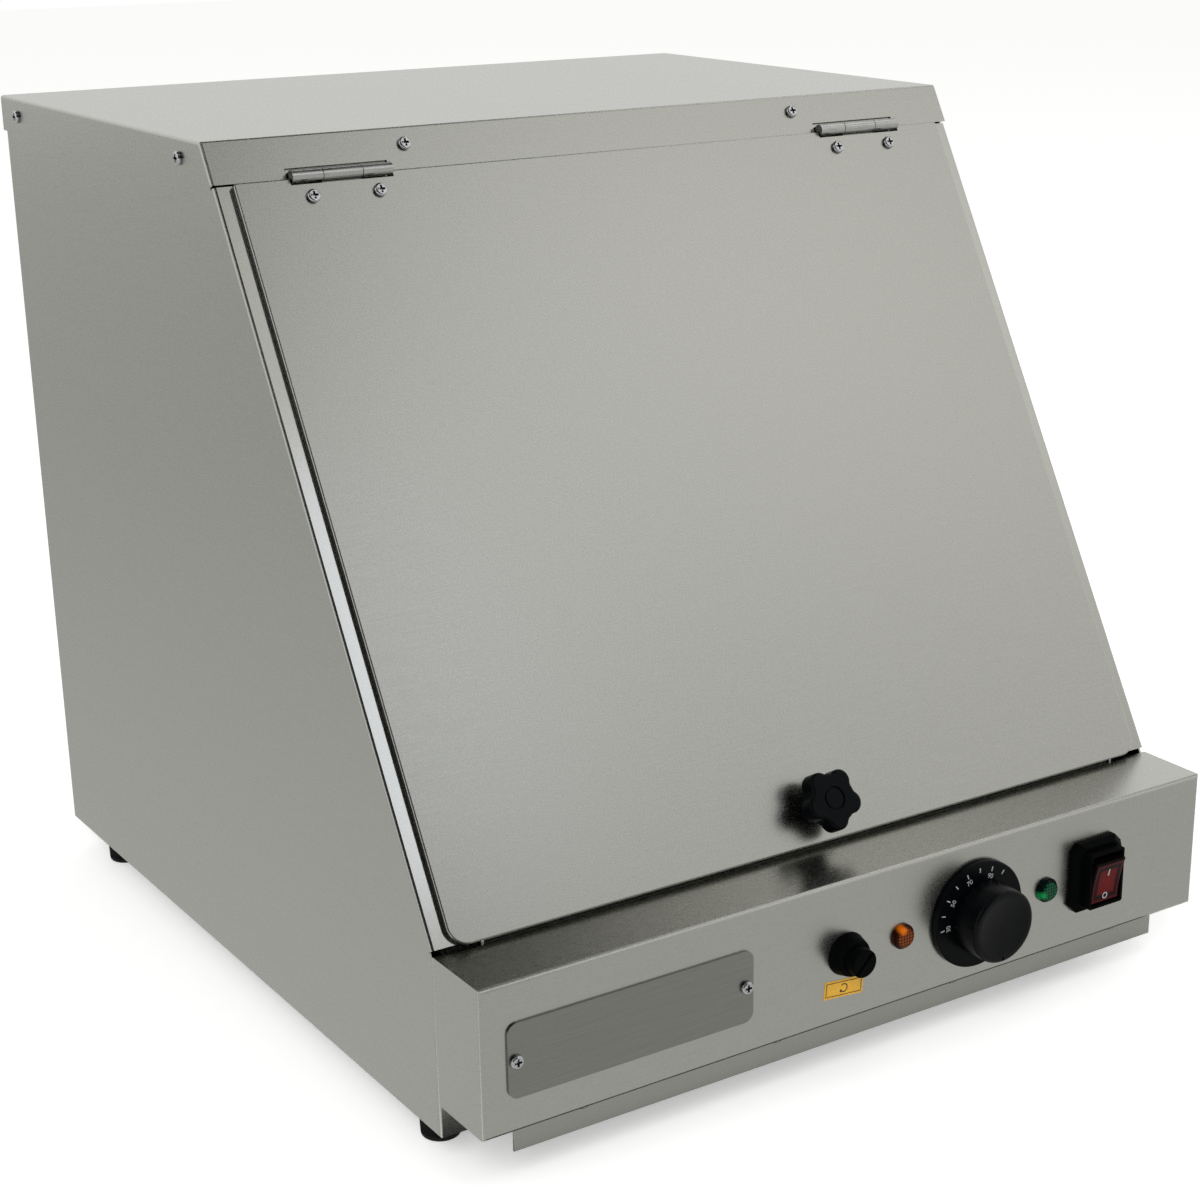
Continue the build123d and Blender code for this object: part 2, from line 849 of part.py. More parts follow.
with BuildPart(knob_plane) as knob_nut:
    pillar(foot_nut_radius + sheet, (-2 * sheet, -sheet))
    with BuildSketch(knob_plane.offset(-2 * sheet)):
        RegularPolygon(foot_nut_radius, 6)
    extrude(amount=-foot_nut_height + sheet)
    pillar(stud_radius, (-2 * foot_nut_height, 0), mode=Mode.SUBTRACT)
knob_nut.part.label = "knob_nut"
export_step(knob_nut.part, "parts/knob_nut.step")

# Console housing: front, top and ends in one folded sheet, open below and behind

with BuildPart() as console_housing:
    block((-half_width, half_width), (console_front_y, front_y), (console_bottom, console_top))
    outer_bends = console_housing.faces().sort_by(Axis.Y)[0].edges()
    fillet(outer_bends, radius=console_bend)
    rear_corners = console_housing.edges().filter_by(Axis.Z).sort_by(Axis.Y)[-2:]
    fillet(rear_corners, radius=console_rear_round)
    block(
        (-inner_x, inner_x),
        (console_front_y + sheet, front_y),
        (console_bottom + sheet, console_top - sheet),
        mode=Mode.SUBTRACT,
    )
    block(
        (-inner_x, inner_x),
        (console_front_y + console_return, front_y),
        (console_bottom, console_top - sheet),
        mode=Mode.SUBTRACT,
    )
    for side in (-1, 1):
        block(
            sorted((side * inner_x, side * (half_width - console_return))),
            (front_y - sheet, front_y),
            (console_bottom, console_top - sheet),
        )
        for z in (console_bottom + console_return, console_top - console_return):
            with Locations(Location((side * (half_width - console_return / 2), front_y, z), (90, 0, 0))):
                Cylinder(screw_hole, cut_reach, mode=Mode.SUBTRACT)
    with BuildSketch(face_plane):
        with Locations((reset_x, 0)):
            Circle(reset_bushing_radius + screw_clearance)
        with Locations((dial_x - lamp_spread, 0), (dial_x + lamp_spread, 0)):
            Circle(lamp_stem_radius + screw_clearance)
        with Locations((dial_x, 0)):
            Circle(shaft_hole_radius)
            with GridLocations(2 * thermostat_screw_spread, 1, 2, 1):
                Circle(screw_hole)
        with Locations((switch_x, switch_rise)):
            Rectangle(switch_body_width + screw_clearance, switch_body_height + screw_clearance)
        with Locations((plate_x, 0)):
            Rectangle(plate_width - 2 * plate_window_margin, plate_height - plate_window_margin)
            with GridLocations(plate_width - 2 * plate_screw_inset, 1, 2, 1):
                Circle(screw_hole)
    extrude(amount=-cut_reach, mode=Mode.SUBTRACT)
    with Locations((0, console_front_y + console_return / 2 + sheet, console_bottom)):
        with GridLocations(console_screw_pitch, 1, console_screw_count, 1):
            Cylinder(screw_hole, cut_reach, mode=Mode.SUBTRACT)
console_housing.part.label = "console_housing"
export_step(console_housing.part, "parts/console_housing.step")

with BuildPart() as console_floor:
    block(
        (-inner_x, inner_x),
        (console_front_y + sheet, front_y - sheet),
        (console_bottom + sheet, console_bottom + 2 * sheet),
    )
    with Locations((0, console_front_y + console_return / 2 + sheet, console_bottom)):
        with GridLocations(console_screw_pitch, 1, console_screw_count, 1):
            Cylinder(screw_hole, 2 * cut_reach, mode=Mode.SUBTRACT)
console_floor.part.label = "console_floor"
export_step(console_floor.part, "parts/console_floor.step")

# Screws of the console: four through the floor, four through the ends into the side panels

floor_screw_plane = Plane(
    origin=(0, console_front_y + console_return / 2 + sheet, console_bottom),
    x_dir=(1, 0, 0),
    z_dir=(0, 0, -1),
)
floor_screw_start = -console_screw_pitch * (console_screw_count - 1) / 2
floor_screw_places = [
    (floor_screw_start + place * console_screw_pitch, 0) for place in range(console_screw_count)
]
end_screw_plane = Plane(origin=(0, front_y - sheet, 0), x_dir=(1, 0, 0), z_dir=(0, -1, 0))
end_screw_places = [
    (side * (half_width - console_return / 2), z)
    for side in (-1, 1)
    for z in (console_bottom + console_return, console_top - console_return)
]
with BuildPart() as console_screws:
    add(pan_screw(floor_screw_plane, floor_screw_places, screw_radius, screw_head_radius, screw_length))
    add(pan_screw(end_screw_plane, end_screw_places, screw_radius, screw_head_radius, screw_length))
console_screws.part.label = "console_screws"
export_step(console_screws.part, "parts/console_screws.step")

# Blank plate over the spare window, with its two screws

plate_places = [
    (plate_x + side * (plate_width / 2 - plate_screw_inset), 0) for side in (-1, 1)
]
with BuildPart() as blank_plate:
    with BuildSketch(face_plane):
        with Locations((plate_x, 0)):
            RectangleRounded(plate_width, plate_height, plate_corner)
        with Locations(*plate_places):
            Circle(screw_hole, mode=Mode.SUBTRACT)
    extrude(amount=sheet)
blank_plate.part.label = "blank_plate"
export_step(blank_plate.part, "parts/blank_plate.step")

plate_screws = pan_screw(
    face_plane.offset(sheet), plate_places, screw_radius, screw_head_radius, screw_length
)
plate_screws.label = "plate_screws"
export_step(plate_screws, "parts/plate_screws.step")

# High-limit thermostat: body and bushing, reset button, collar and screw cap

reset_plane = plane_at(face_plane, reset_x, 0, 0)
button_tail = reset_collar_height + sheet
with BuildPart(reset_plane) as limiter_body:
    block(
        (-limiter_width / 2, limiter_width / 2),
        (-limiter_height / 2, limiter_height / 2),
        (-sheet - limiter_depth, -sheet),
    )
    pillar(reset_bushing_radius, (-sheet, reset_collar_floor))
    pillar(
        reset_button_radius + pin_clearance,
        (-button_tail - reset_collar_floor, reset_collar_floor),
        mode=Mode.SUBTRACT,
    )
limiter_body.part.label = "limiter_body"
export_step(limiter_body.part, "parts/limiter_body.step")

with BuildPart(reset_plane) as reset_button:
    pillar(reset_button_radius, (-button_tail, reset_button_rise))
reset_button.part.label = "reset_button"
export_step(reset_button.part, "parts/reset_button.step")

with BuildPart(reset_plane) as reset_collar:
    Cone(
        reset_collar_radius,
        reset_collar_top_radius,
        reset_collar_height,
        align=(Align.CENTER, Align.CENTER, Align.MIN),
    )
    fillet(
        reset_collar.edges().filter_by(GeomType.CIRCLE).sort_by(Axis.Y)[0],
        radius=reset_collar_floor,
    )
    pillar(reset_bore_radius, (reset_collar_floor, reset_collar_height), mode=Mode.SUBTRACT)
    pillar(reset_bushing_radius, (0, reset_collar_floor), mode=Mode.SUBTRACT)
reset_collar.part.label = "reset_collar"
export_step(reset_collar.part, "parts/reset_collar.step")

cap_foot = reset_collar_height + seat_gap
with BuildPart(reset_plane) as reset_cap:
    pillar(reset_cap_radius, (cap_foot, cap_foot + reset_cap_height))
    fillet(
        reset_cap.edges().filter_by(GeomType.CIRCLE).sort_by(Axis.Y)[0],
        radius=reset_cap_slot / 2,
    )
    pillar(reset_spigot_radius, (cap_foot - reset_spigot_length, cap_foot))
    pillar(
        reset_spigot_radius - reset_spigot_wall,
        (cap_foot - reset_spigot_length, cap_foot),
        mode=Mode.SUBTRACT,
    )
    with Locations(Location((0, 0, cap_foot + reset_cap_height), (0, 0, reset_cap_slot_angle))):
        Box(2 * reset_cap_radius, reset_cap_slot, 2 * reset_cap_slot_depth, mode=Mode.SUBTRACT)
reset_cap.part.label = "reset_cap"
export_step(reset_cap.part, "parts/reset_cap.step")

with BuildPart() as reset_label:
    with BuildSketch(plane_at(face_plane, reset_x + label_shift, -label_drop, 0)):
        Rectangle(label_width, label_height, rotation=label_tilt)
    extrude(amount=label_thickness)
reset_label.part.label = "reset_label"
export_step(reset_label.part, "parts/reset_label.step")

# Pilot lamps: a domed lens with a stem, held from behind by a nut with the lamp's body

lamp_places = {"amber": dial_x - lamp_spread, "green": dial_x + lamp_spread}
for colour, x in lamp_places.items():
    lamp_plane = plane_at(face_plane, x, 0, 0)
    with BuildPart(lamp_plane) as lens:
        pillar(lamp_radius, (0, lamp_flange))
        pillar(lamp_radius - lamp_flange / 2, (lamp_flange, lamp_flange + lamp_dome))
        fillet(
            lens.edges().filter_by(GeomType.CIRCLE).sort_by(Axis.Y)[0],
            radius=lamp_dome - seat_gap,
        )
        pillar(lamp_stem_radius, (-sheet - lamp_stem_length, 0))
    lens.part.label = f"{colour}_lens"
    export_step(lens.part, f"parts/{colour}_lens.step")

    with BuildPart(lamp_plane) as holder:
        with BuildSketch(lamp_plane.offset(-sheet)):
            RegularPolygon(lamp_nut_radius, 6)
        extrude(amount=-lamp_nut_height)
        pillar(lamp_nut_radius - lamp_flange / 2, (-sheet - lamp_body_length, -sheet - lamp_nut_height))
        pillar(lamp_stem_radius, (-sheet - lamp_stem_length, -sheet), mode=Mode.SUBTRACT)
    holder.part.label = f"{colour}_holder"
    export_step(holder.part, f"parts/{colour}_holder.step")

# Thermostat: body behind the panel, shaft, printed skirt and round grip

dial_plane = plane_at(face_plane, dial_x, 0, 0)
thermostat_places = ((-thermostat_screw_spread, 0), (thermostat_screw_spread, 0))
with BuildPart(dial_plane) as thermostat_body:
    block(
        (-thermostat_width / 2, thermostat_width / 2),
        (-thermostat_height / 2, thermostat_height / 2),
        (-sheet - thermostat_depth, -sheet),
    )
    pillar(
        shaft_radius + pin_clearance,
        (-sheet - shaft_bite - seat_gap, -sheet),
        mode=Mode.SUBTRACT,
    )
    with Locations(*thermostat_places):
        pillar(screw_radius, (-sheet - screw_length, -sheet), mode=Mode.SUBTRACT)
thermostat_body.part.label = "thermostat_body"
export_step(thermostat_body.part, "parts/thermostat_body.step")

with BuildPart(dial_plane) as thermostat_screws:
    with Locations(*thermostat_places):
        pillar(screw_radius, (-sheet - screw_length + seat_gap, 0))
        pillar(screw_head_radius, (0, skirt_gap))
thermostat_screws.part.label = "thermostat_screws"
export_step(thermostat_screws.part, "parts/thermostat_screws.step")

with BuildPart(dial_plane) as dial_shaft:
    pillar(shaft_radius, (-sheet - shaft_bite, skirt_top + shaft_bite))
dial_shaft.part.label = "dial_shaft"
export_step(dial_shaft.part, "parts/dial_shaft.step")

with BuildPart(dial_plane) as dial_skirt:
    pillar(skirt_radius, (skirt_gap, skirt_top))
    chamfer(
        dial_skirt.edges().filter_by(GeomType.CIRCLE).sort_by(Axis.Y)[0],
        length=skirt_plate / 2,
    )
    pillar(skirt_radius - skirt_rim, (skirt_gap, skirt_top - skirt_plate), mode=Mode.SUBTRACT)
    pillar(2 * shaft_radius, (skirt_gap, skirt_top))
    pillar(shaft_radius, (skirt_gap, skirt_top), mode=Mode.SUBTRACT)
dial_skirt.part.label = "dial_skirt"
export_step(dial_skirt.part, "parts/dial_skirt.step")

dish_sphere_radius = (grip_dish_radius**2 + grip_dish_depth**2) / (2 * grip_dish_depth)
with BuildPart(dial_plane) as dial_grip:
    with Locations((0, 0, skirt_top + grip_gap)):
        Cone(
            grip_radius + grip_taper / 2,
            grip_radius - grip_taper / 2,
            grip_height - grip_gap,
            align=(Align.CENTER, Align.CENTER, Align.MIN),
        )
    fillet(
        dial_grip.edges().filter_by(GeomType.CIRCLE).sort_by(Axis.Y)[0],
        radius=grip_edge,
    )
    pillar(grip_neck_radius, (skirt_top, skirt_top + grip_gap))
    with Locations((0, 0, grip_top - grip_dish_depth + dish_sphere_radius)):
        Sphere(dish_sphere_radius, mode=Mode.SUBTRACT)
    pillar(shaft_radius, (skirt_top, skirt_top + shaft_bite), mode=Mode.SUBTRACT)
    with Locations((0, -(grip_radius + grip_dish_radius) / 2 + grip_taper, grip_top)):
        Box(recess_width, recess_length / 2, 2 * grip_mark_depth, mode=Mode.SUBTRACT)
dial_grip.part.label = "dial_grip"
export_step(dial_grip.part, "parts/dial_grip.step")

# Rocker switch: stepped frame with a collar, and the rocker on its axle, resting with its top out

switch_plane = plane_at(face_plane, switch_x, switch_rise, 0)
pocket_width = rocker_width + 2 * rocker_side_gap
pocket_height = rocker_height + 2 * rocker_swing_gap
bevel_top = switch_base + switch_bevel_height

with BuildPart(switch_plane) as switch_frame:
    with BuildSketch(switch_plane) as frame_foot:
        Rectangle(switch_width, switch_height)
        chamfer(frame_foot.vertices(), length=switch_corner)
    extrude(amount=switch_base)
    with BuildSketch(switch_plane.offset(switch_base)) as bevel_foot:
        Rectangle(switch_width, switch_height)
        chamfer(bevel_foot.vertices(), length=switch_corner)
    with BuildSketch(switch_plane.offset(bevel_top)) as bevel_head:
        Rectangle(switch_width - 2 * switch_bevel_inset, switch_height - 2 * switch_bevel_inset)
        chamfer(bevel_head.vertices(), length=switch_corner)
    loft()
    with BuildSketch(switch_plane.offset(bevel_top)):
        RectangleRounded(
            pocket_width + 2 * switch_collar_wall,
            pocket_height + 2 * switch_collar_wall,
            switch_collar_wall,
        )
    extrude(amount=switch_collar_height - bevel_top)
    block(
        (-switch_body_width / 2, switch_body_width / 2),
        (-switch_body_height / 2, switch_body_height / 2),
        (-switch_body_depth, 0),
    )
    block(
        (-pocket_width / 2, pocket_width / 2),
        (-pocket_height / 2, pocket_height / 2),
        (-rocker_front / 2, switch_collar_height),
        mode=Mode.SUBTRACT,
    )
    with Locations(Location((0, 0, rocker_pivot), (0, 90, 0))):
        Cylinder(
            rocker_axle_radius + pin_clearance,
            rocker_width + 2 * rocker_axle_length + 2 * pin_clearance,
            mode=Mode.SUBTRACT,
        )
switch_frame.part.label = "switch_frame"
export_step(switch_frame.part, "parts/switch_frame.step")

rocker_plane = plane_at(switch_plane, 0, 0, rocker_pivot).rotated((rocker_tilt, 0, 0))
rocker_face = rocker_front - rocker_pivot
rocker_side_plane = Plane(
    origin=rocker_plane.from_local_coords((-rocker_width / 2, 0, 0)),
    x_dir=rocker_plane.y_dir,
    z_dir=rocker_plane.x_dir,
)
with BuildPart() as rocker:
    with BuildSketch(rocker_side_plane):
        with BuildLine():
            ThreePointArc(
                (-rocker_height / 2, rocker_face),
                (0, rocker_face - rocker_dish),
                (rocker_height / 2, rocker_face),
            )
            Polyline(
                (rocker_height / 2, rocker_face),
                (rocker_height / 2 - rocker_dish, -rocker_axle_radius),
                (rocker_height / 4, -2 * rocker_axle_radius),
                (-rocker_height / 4, -2 * rocker_axle_radius),
                (-rocker_height / 2 + rocker_dish, -rocker_axle_radius),
                (-rocker_height / 2, rocker_face),
            )
        make_face()
    extrude(amount=rocker_width)
    front_rim = rocker.faces().sort_by(Axis(rocker_plane.origin, rocker_plane.z_dir))[-1].edges()
    fillet(front_rim, radius=rocker_dish)
    with BuildSketch(rocker_side_plane.offset(-rocker_axle_length)):
        Circle(rocker_axle_radius)
    extrude(amount=rocker_width + 2 * rocker_axle_length)
rocker.part.label = "rocker"
export_step(rocker.part, "parts/rocker.step")

# Terminal block on the console floor, behind the spare window

block_floor = console_bottom + 2 * sheet
block_y = (console_front_y + front_y) / 2
way_pitch = block_length / block_ways
with BuildPart() as terminal_block:
    block(
        (block_x - block_length / 2, block_x + block_length / 2),
        (block_y - block_width / 2, block_y + block_width / 2),
        (block_floor, block_floor + block_height),
    )
    with Locations((block_x, block_y, block_floor + block_height)):
        with GridLocations(way_pitch, block_width / 2, block_ways, 2):
            Cylinder(block_screw_radius, block_height, mode=Mode.SUBTRACT)
terminal_block.part.label = "terminal_block"
export_step(terminal_block.part, "parts/terminal_block.step")

# Crumb tray: draws forward under the console by its turned-down lip

crumb_floor_z = base_top + seat_gap
crumb_front_y = console_front_y + crumb_lip_setback
crumb_rear_y = back_inner_y - sheet - seat_gap
crumb_lip_half = half_width - crumb_lip_inset
lip_bottom = foot_height + crumb_lip_rise
with BuildPart() as crumb_tray:
    block(
        (-crumb_half_width, crumb_half_width),
        (crumb_front_y, crumb_rear_y),
        (crumb_floor_z, crumb_floor_z + crumb_wall),
    )
    block(
        (-crumb_half_width + crumb_sheet, crumb_half_width - crumb_sheet),
        (crumb_front_y + crumb_sheet, crumb_rear_y - crumb_sheet),
        (crumb_floor_z + crumb_sheet, crumb_floor_z + crumb_wall),
        mode=Mode.SUBTRACT,
    )
    block(
        (-crumb_lip_half, crumb_lip_half),
        (crumb_front_y, crumb_front_y + crumb_sheet),
        (lip_bottom, lip_bottom + crumb_lip_height),
    )
crumb_tray.part.label = "crumb_tray"
export_step(crumb_tray.part, "parts/crumb_tray.step")

# Runners: a foot flange on the base pan, an upright, and a hook over the tray's wall

runner_inner = crumb_half_width + runner_gap
runner_top = crumb_floor_z + crumb_wall + runner_gap
with BuildPart() as tray_runners:
    for side in (-1, 1):
        y_span = (panel_back_y + runner_inset, back_inner_y - 2 * runner_inset)
        block(
            sorted((side * runner_inner, side * (runner_inner + sheet))),
            y_span,
            (base_top, runner_top + sheet),
        )
        block(
            sorted((side * runner_inner, side * (runner_inner + sheet + runner_flange))),
            y_span,
            (base_top, base_top + sheet),
        )
        block(
            sorted((side * (runner_inner - runner_hook), side * runner_inner)),
            y_span,
            (runner_top, runner_top + sheet),
        )
tray_runners.part.label = "tray_runners"
export_step(tray_runners.part, "parts/tray_runners.step")

# Heat shield under the element, with its edges folded up against the side panels

with BuildPart() as heat_shield:
    block(
        (-inner_x, inner_x),
        (panel_back_y, back_inner_y),
        (shield_height, shield_height + shield_flange),
    )
    block(
        (-inner_x + sheet, inner_x - sheet),
        (panel_back_y, back_inner_y),
        (shield_height + sheet, shield_height + shield_flange),
        mode=Mode.SUBTRACT,
    )
heat_shield.part.label = "heat_shield"
export_step(heat_shield.part, "parts/heat_shield.step")

# Heating element: one tube from the front panel, round the chamber and back to the front panel

element_start_y = front_y - element_tail
element_rear_y = back_y - element_rear_inset
element_front_turn_y = front_y + element_front_turn_inset
element_rear_turn_y = back_y - element_rear_turn_inset
element_plane = Plane.XY.offset(element_height)
with BuildPart() as heating_element:
    with BuildLine(element_plane) as element_path:
        Line((-element_outer_x, element_start_y), (-element_outer_x, element_rear_y - element_corner))
        RadiusArc(
            (-element_outer_x, element_rear_y - element_corner),
            (-element_outer_x + element_corner, element_rear_y),
            element_corner,
        )
        Line(
            (-element_outer_x + element_corner, element_rear_y),
            (element_right_x - element_corner, element_rear_y),
        )
        RadiusArc(
            (element_right_x - element_corner, element_rear_y),
            (element_right_x, element_rear_y - element_corner),
            element_corner,
        )
        Line((element_right_x, element_rear_y - element_corner), (element_right_x, element_front_turn_y))
        ThreePointArc(
            (element_right_x, element_front_turn_y),
            (element_right_x - element_turn, element_front_turn_y - element_turn),
            (element_right_x - 2 * element_turn, element_front_turn_y),
        )
        Line(
            (element_right_x - 2 * element_turn, element_front_turn_y),
            (element_right_x - 2 * element_turn, element_rear_turn_y),
        )
        ThreePointArc(
            (element_right_x - 2 * element_turn, element_rear_turn_y),
            (element_right_x - 3 * element_turn, element_rear_turn_y + element_turn),
            (element_end_x, element_rear_turn_y),
        )
        Line(
            (element_end_x, element_rear_turn_y),
            (element_end_x, element_start_y),
        )
    with BuildSketch(Plane(origin=element_path.line @ 0, z_dir=element_path.line % 0)):
        Circle(element_radius)
    sweep()
heating_element.part.label = "heating_element"
export_step(heating_element.part, "parts/heating_element.step")

element_ends = [(-element_outer_x, element_height), (element_end_x, element_height)]
element_end_plane = Plane(origin=(0, element_start_y, 0), x_dir=(1, 0, 0), z_dir=(0, -1, 0))
with BuildPart(element_end_plane) as element_terminals:
    with Locations(*element_ends):
        pillar(element_radius - terminal_radius / 2, (0, terminal_length / 2))
        pillar(terminal_radius, (terminal_length / 2, terminal_length))
element_terminals.part.label = "element_terminals"
export_step(element_terminals.part, "parts/element_terminals.step")

element_nut_plane = Plane(origin=(0, panel_front_y, 0), x_dir=(1, 0, 0), z_dir=(0, -1, 0))
with BuildPart() as element_nuts:
    with BuildSketch(element_nut_plane):
        with Locations(*element_ends):
            RegularPolygon(gland_nut_radius, 6)
            Circle(element_radius + pin_clearance, mode=Mode.SUBTRACT)
    extrude(amount=gland_nut_height)
element_nuts.part.label = "element_nuts"
export_step(element_nuts.part, "parts/element_nuts.step")

# Element supports: strips on legs standing on the heat shield

support_top = element_height - element_radius
support_foot = shield_height + sheet
support_half_length = half_width - support_inset
with BuildPart() as element_supports:
    for y in (front_y + support_front_inset, back_y - support_rear_inset):
        y_span = (y - support_width / 2, y + support_width / 2)
        block(
            (-support_half_length, support_half_length),
            y_span,
            (support_top - support_sheet, support_top),
        )
        for x in (-support_half_length, -support_sheet / 2, support_half_length - support_sheet):
            block((x, x + support_sheet), y_span, (support_foot, support_top))
element_supports.part.label = "element_supports"
export_step(element_supports.part, "parts/element_supports.step")

# Sensing bulbs: each bulb and its capillary tube in one piece, running back from its thermostat

bulb_y = panel_back_y + bulb_setback


def sensing_bulb(x, start_y, side):
    """A capillary from the back of a thermostat, turning sideways into its bulb."""
    with BuildPart() as bulb:
        with BuildLine(Plane.XY.offset(bulb_height)) as route:
            Line((x, start_y), (x, bulb_y - capillary_bend))
            RadiusArc(
                (x, bulb_y - capillary_bend),
                (x + side * capillary_bend, bulb_y),
                side * capillary_bend,
            )
            Line((x + side * capillary_bend, bulb_y), (x + side * 2 * capillary_bend, bulb_y))
        with BuildSketch(Plane(origin=route.line @ 0, z_dir=route.line % 0)):
            Circle(capillary_radius)
        sweep()
        with BuildSketch(Plane.YZ.offset(x + side * 2 * capillary_bend)):
            with Locations((bulb_y, bulb_height)):
                Circle(bulb_radius)
        extrude(amount=side * bulb_length)
    return bulb.part


control_bulb = sensing_bulb(dial_x, console_front_y + sheet + thermostat_depth, 1)
control_bulb.label = "control_bulb"
export_step(control_bulb, "parts/control_bulb.step")

limiter_bulb = sensing_bulb(reset_x, console_front_y + sheet + limiter_depth, -1)
limiter_bulb.label = "limiter_bulb"
export_step(limiter_bulb, "parts/limiter_bulb.step")

clip_places = [
    start + side * (2 * capillary_bend + reach)
    for start, side in ((dial_x, 1), (reset_x, -1))
    for reach in (clip_inset, bulb_length - clip_inset)
]
with BuildPart() as bulb_clips:
    for x in clip_places:
        with BuildSketch(Plane.YZ.offset(x - clip_width / 2)):
            with Locations(((panel_back_y + bulb_y + 2 * bulb_radius) / 2, bulb_height)):
                Rectangle(bulb_setback + 2 * bulb_radius, clip_height)
            with Locations((bulb_y, bulb_height)):
                Circle(bulb_radius + pin_clearance, mode=Mode.SUBTRACT)
        extrude(amount=clip_width)
bulb_clips.part.label = "bulb_clips"
export_step(bulb_clips.part, "parts/bulb_clips.step")

# Rails along the side panels, and the perforated chip pan that lies on them

rail_top = pan_floor_height - seat_gap
with BuildPart() as pan_rails:
    for side in (-1, 1):
        y_span = (front_y + rail_front_inset, back_y - rail_rear_inset)
        block(sorted((side * (inner_x - rail_ledge), side * inner_x)), y_span, (rail_top - sheet, rail_top))
        block(sorted((side * (inner_x - sheet), side * inner_x)), y_span, (rail_top - rail_drop, rail_top))
pan_rails.part.label = "pan_rails"
export_step(pan_rails.part, "parts/pan_rails.step")

pan_front_y = front_y + pan_front_inset
pan_rear_y = back_y - pan_rear_inset
pan_holes_across = int(2 * (pan_half_width - pan_hole_margin) / pan_hole_pitch)
pan_holes_deep = int((pan_rear_y - pan_front_y - 2 * pan_hole_margin) / pan_hole_pitch)
with BuildPart() as chip_pan:
    block(
        (-pan_half_width, pan_half_width),
        (pan_front_y, pan_rear_y),
        (pan_floor_height, pan_floor_height + sheet),
    )
    for x in (-pan_half_width, pan_half_width - sheet):
        block(
            (x, x + sheet),
            (pan_front_y + pan_wall_setback, pan_rear_y),
            (pan_floor_height, pan_floor_height + pan_wall),
        )
    block(
        (-pan_half_width, pan_half_width),
        (pan_rear_y - sheet, pan_rear_y),
        (pan_floor_height, pan_floor_height + pan_wall),
    )
    block(
        (-pan_half_width, pan_half_width),
        (pan_front_y, pan_front_y + sheet),
        (pan_floor_height, pan_floor_height + pan_front_lip),
    )
    with BuildSketch(Plane.XY.offset(pan_floor_height)):
        with Locations((0, (pan_front_y + pan_rear_y) / 2)):
            with GridLocations(pan_hole_pitch, pan_hole_pitch, pan_holes_across, pan_holes_deep):
                Circle(pan_hole_radius)
    extrude(amount=sheet, mode=Mode.SUBTRACT)
chip_pan.part.label = "chip_pan"
export_step(chip_pan.part, "parts/chip_pan.step")

# Cable gland in the back panel, with its bore open and its nut inside

gland_plane = Plane(origin=(cable_x, back_inner_y + sheet, cable_z), x_dir=(-1, 0, 0), z_dir=(0, 1, 0))
with BuildPart(gland_plane) as cable_gland:
    pillar(cable_flange_radius, (0, cable_flange_height / 2))
    with BuildSketch(gland_plane.offset(cable_flange_height / 2)):
        RegularPolygon(cable_flange_radius, 6)
    extrude(amount=cable_flange_height / 2)
    pillar(cable_body_radius, (-cable_thread_length, 0))
    pillar(cable_bore_radius, (-cable_thread_length, cable_flange_height), mode=Mode.SUBTRACT)
cable_gland.part.label = "cable_gland"
export_step(cable_gland.part, "parts/cable_gland.step")

with BuildPart() as gland_nut:
    with BuildSketch(gland_plane.offset(-sheet)):
        RegularPolygon(cable_flange_radius, 6)
        Circle(cable_body_radius + pin_clearance, mode=Mode.SUBTRACT)
    extrude(amount=-cable_nut_height)
gland_nut.part.label = "gland_nut"
export_step(gland_nut.part, "parts/gland_nut.step")

# Feet, each with a screw up through the side panel's flange and the base pan into a nut

with BuildPart() as feet:
    with Locations(*foot_places):
        Cone(
            foot_tread_radius,
            foot_radius,
            foot_height,
            align=(Align.CENTER, Align.CENTER, Align.MIN),
        )
    fillet(feet.edges().filter_by(GeomType.CIRCLE).group_by(Axis.Z)[0], radius=foot_edge)
    with Locations(*foot_places):
        pillar(foot_well_radius, (0, foot_screw_depth), mode=Mode.SUBTRACT)
        pillar(foot_screw_radius + screw_clearance, (0, foot_height), mode=Mode.SUBTRACT)
feet.part.label = "feet"
export_step(feet.part, "parts/feet.step")

foot_screw_plane = Plane(origin=(0, 0, foot_screw_depth), x_dir=(-1, 0, 0), z_dir=(0, 0, -1))
foot_screws = pan_screw(
    foot_screw_plane,
    foot_places,
    foot_screw_radius,
    foot_head_radius,
    base_top + foot_nut_height + sheet - foot_screw_depth,
)
foot_screws.label = "foot_screws"
export_step(foot_screws, "parts/foot_screws.step")

with BuildPart() as foot_nuts:
    with BuildSketch(Plane.XY.offset(base_top)):
        with Locations(*foot_places):
            RegularPolygon(foot_nut_radius, 6)
            Circle(foot_screw_radius + pin_clearance, mode=Mode.SUBTRACT)
    extrude(amount=foot_nut_height)
foot_nuts.part.label = "foot_nuts"
export_step(foot_nuts.part, "parts/foot_nuts.step")
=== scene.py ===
"""Looks for the chip scuttle: camera, studio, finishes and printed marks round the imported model.

Metres, in the model's own frame: +Z up, the front faces -Y, the origin on the floor.
"""

from math import cos, pi, radians, sin

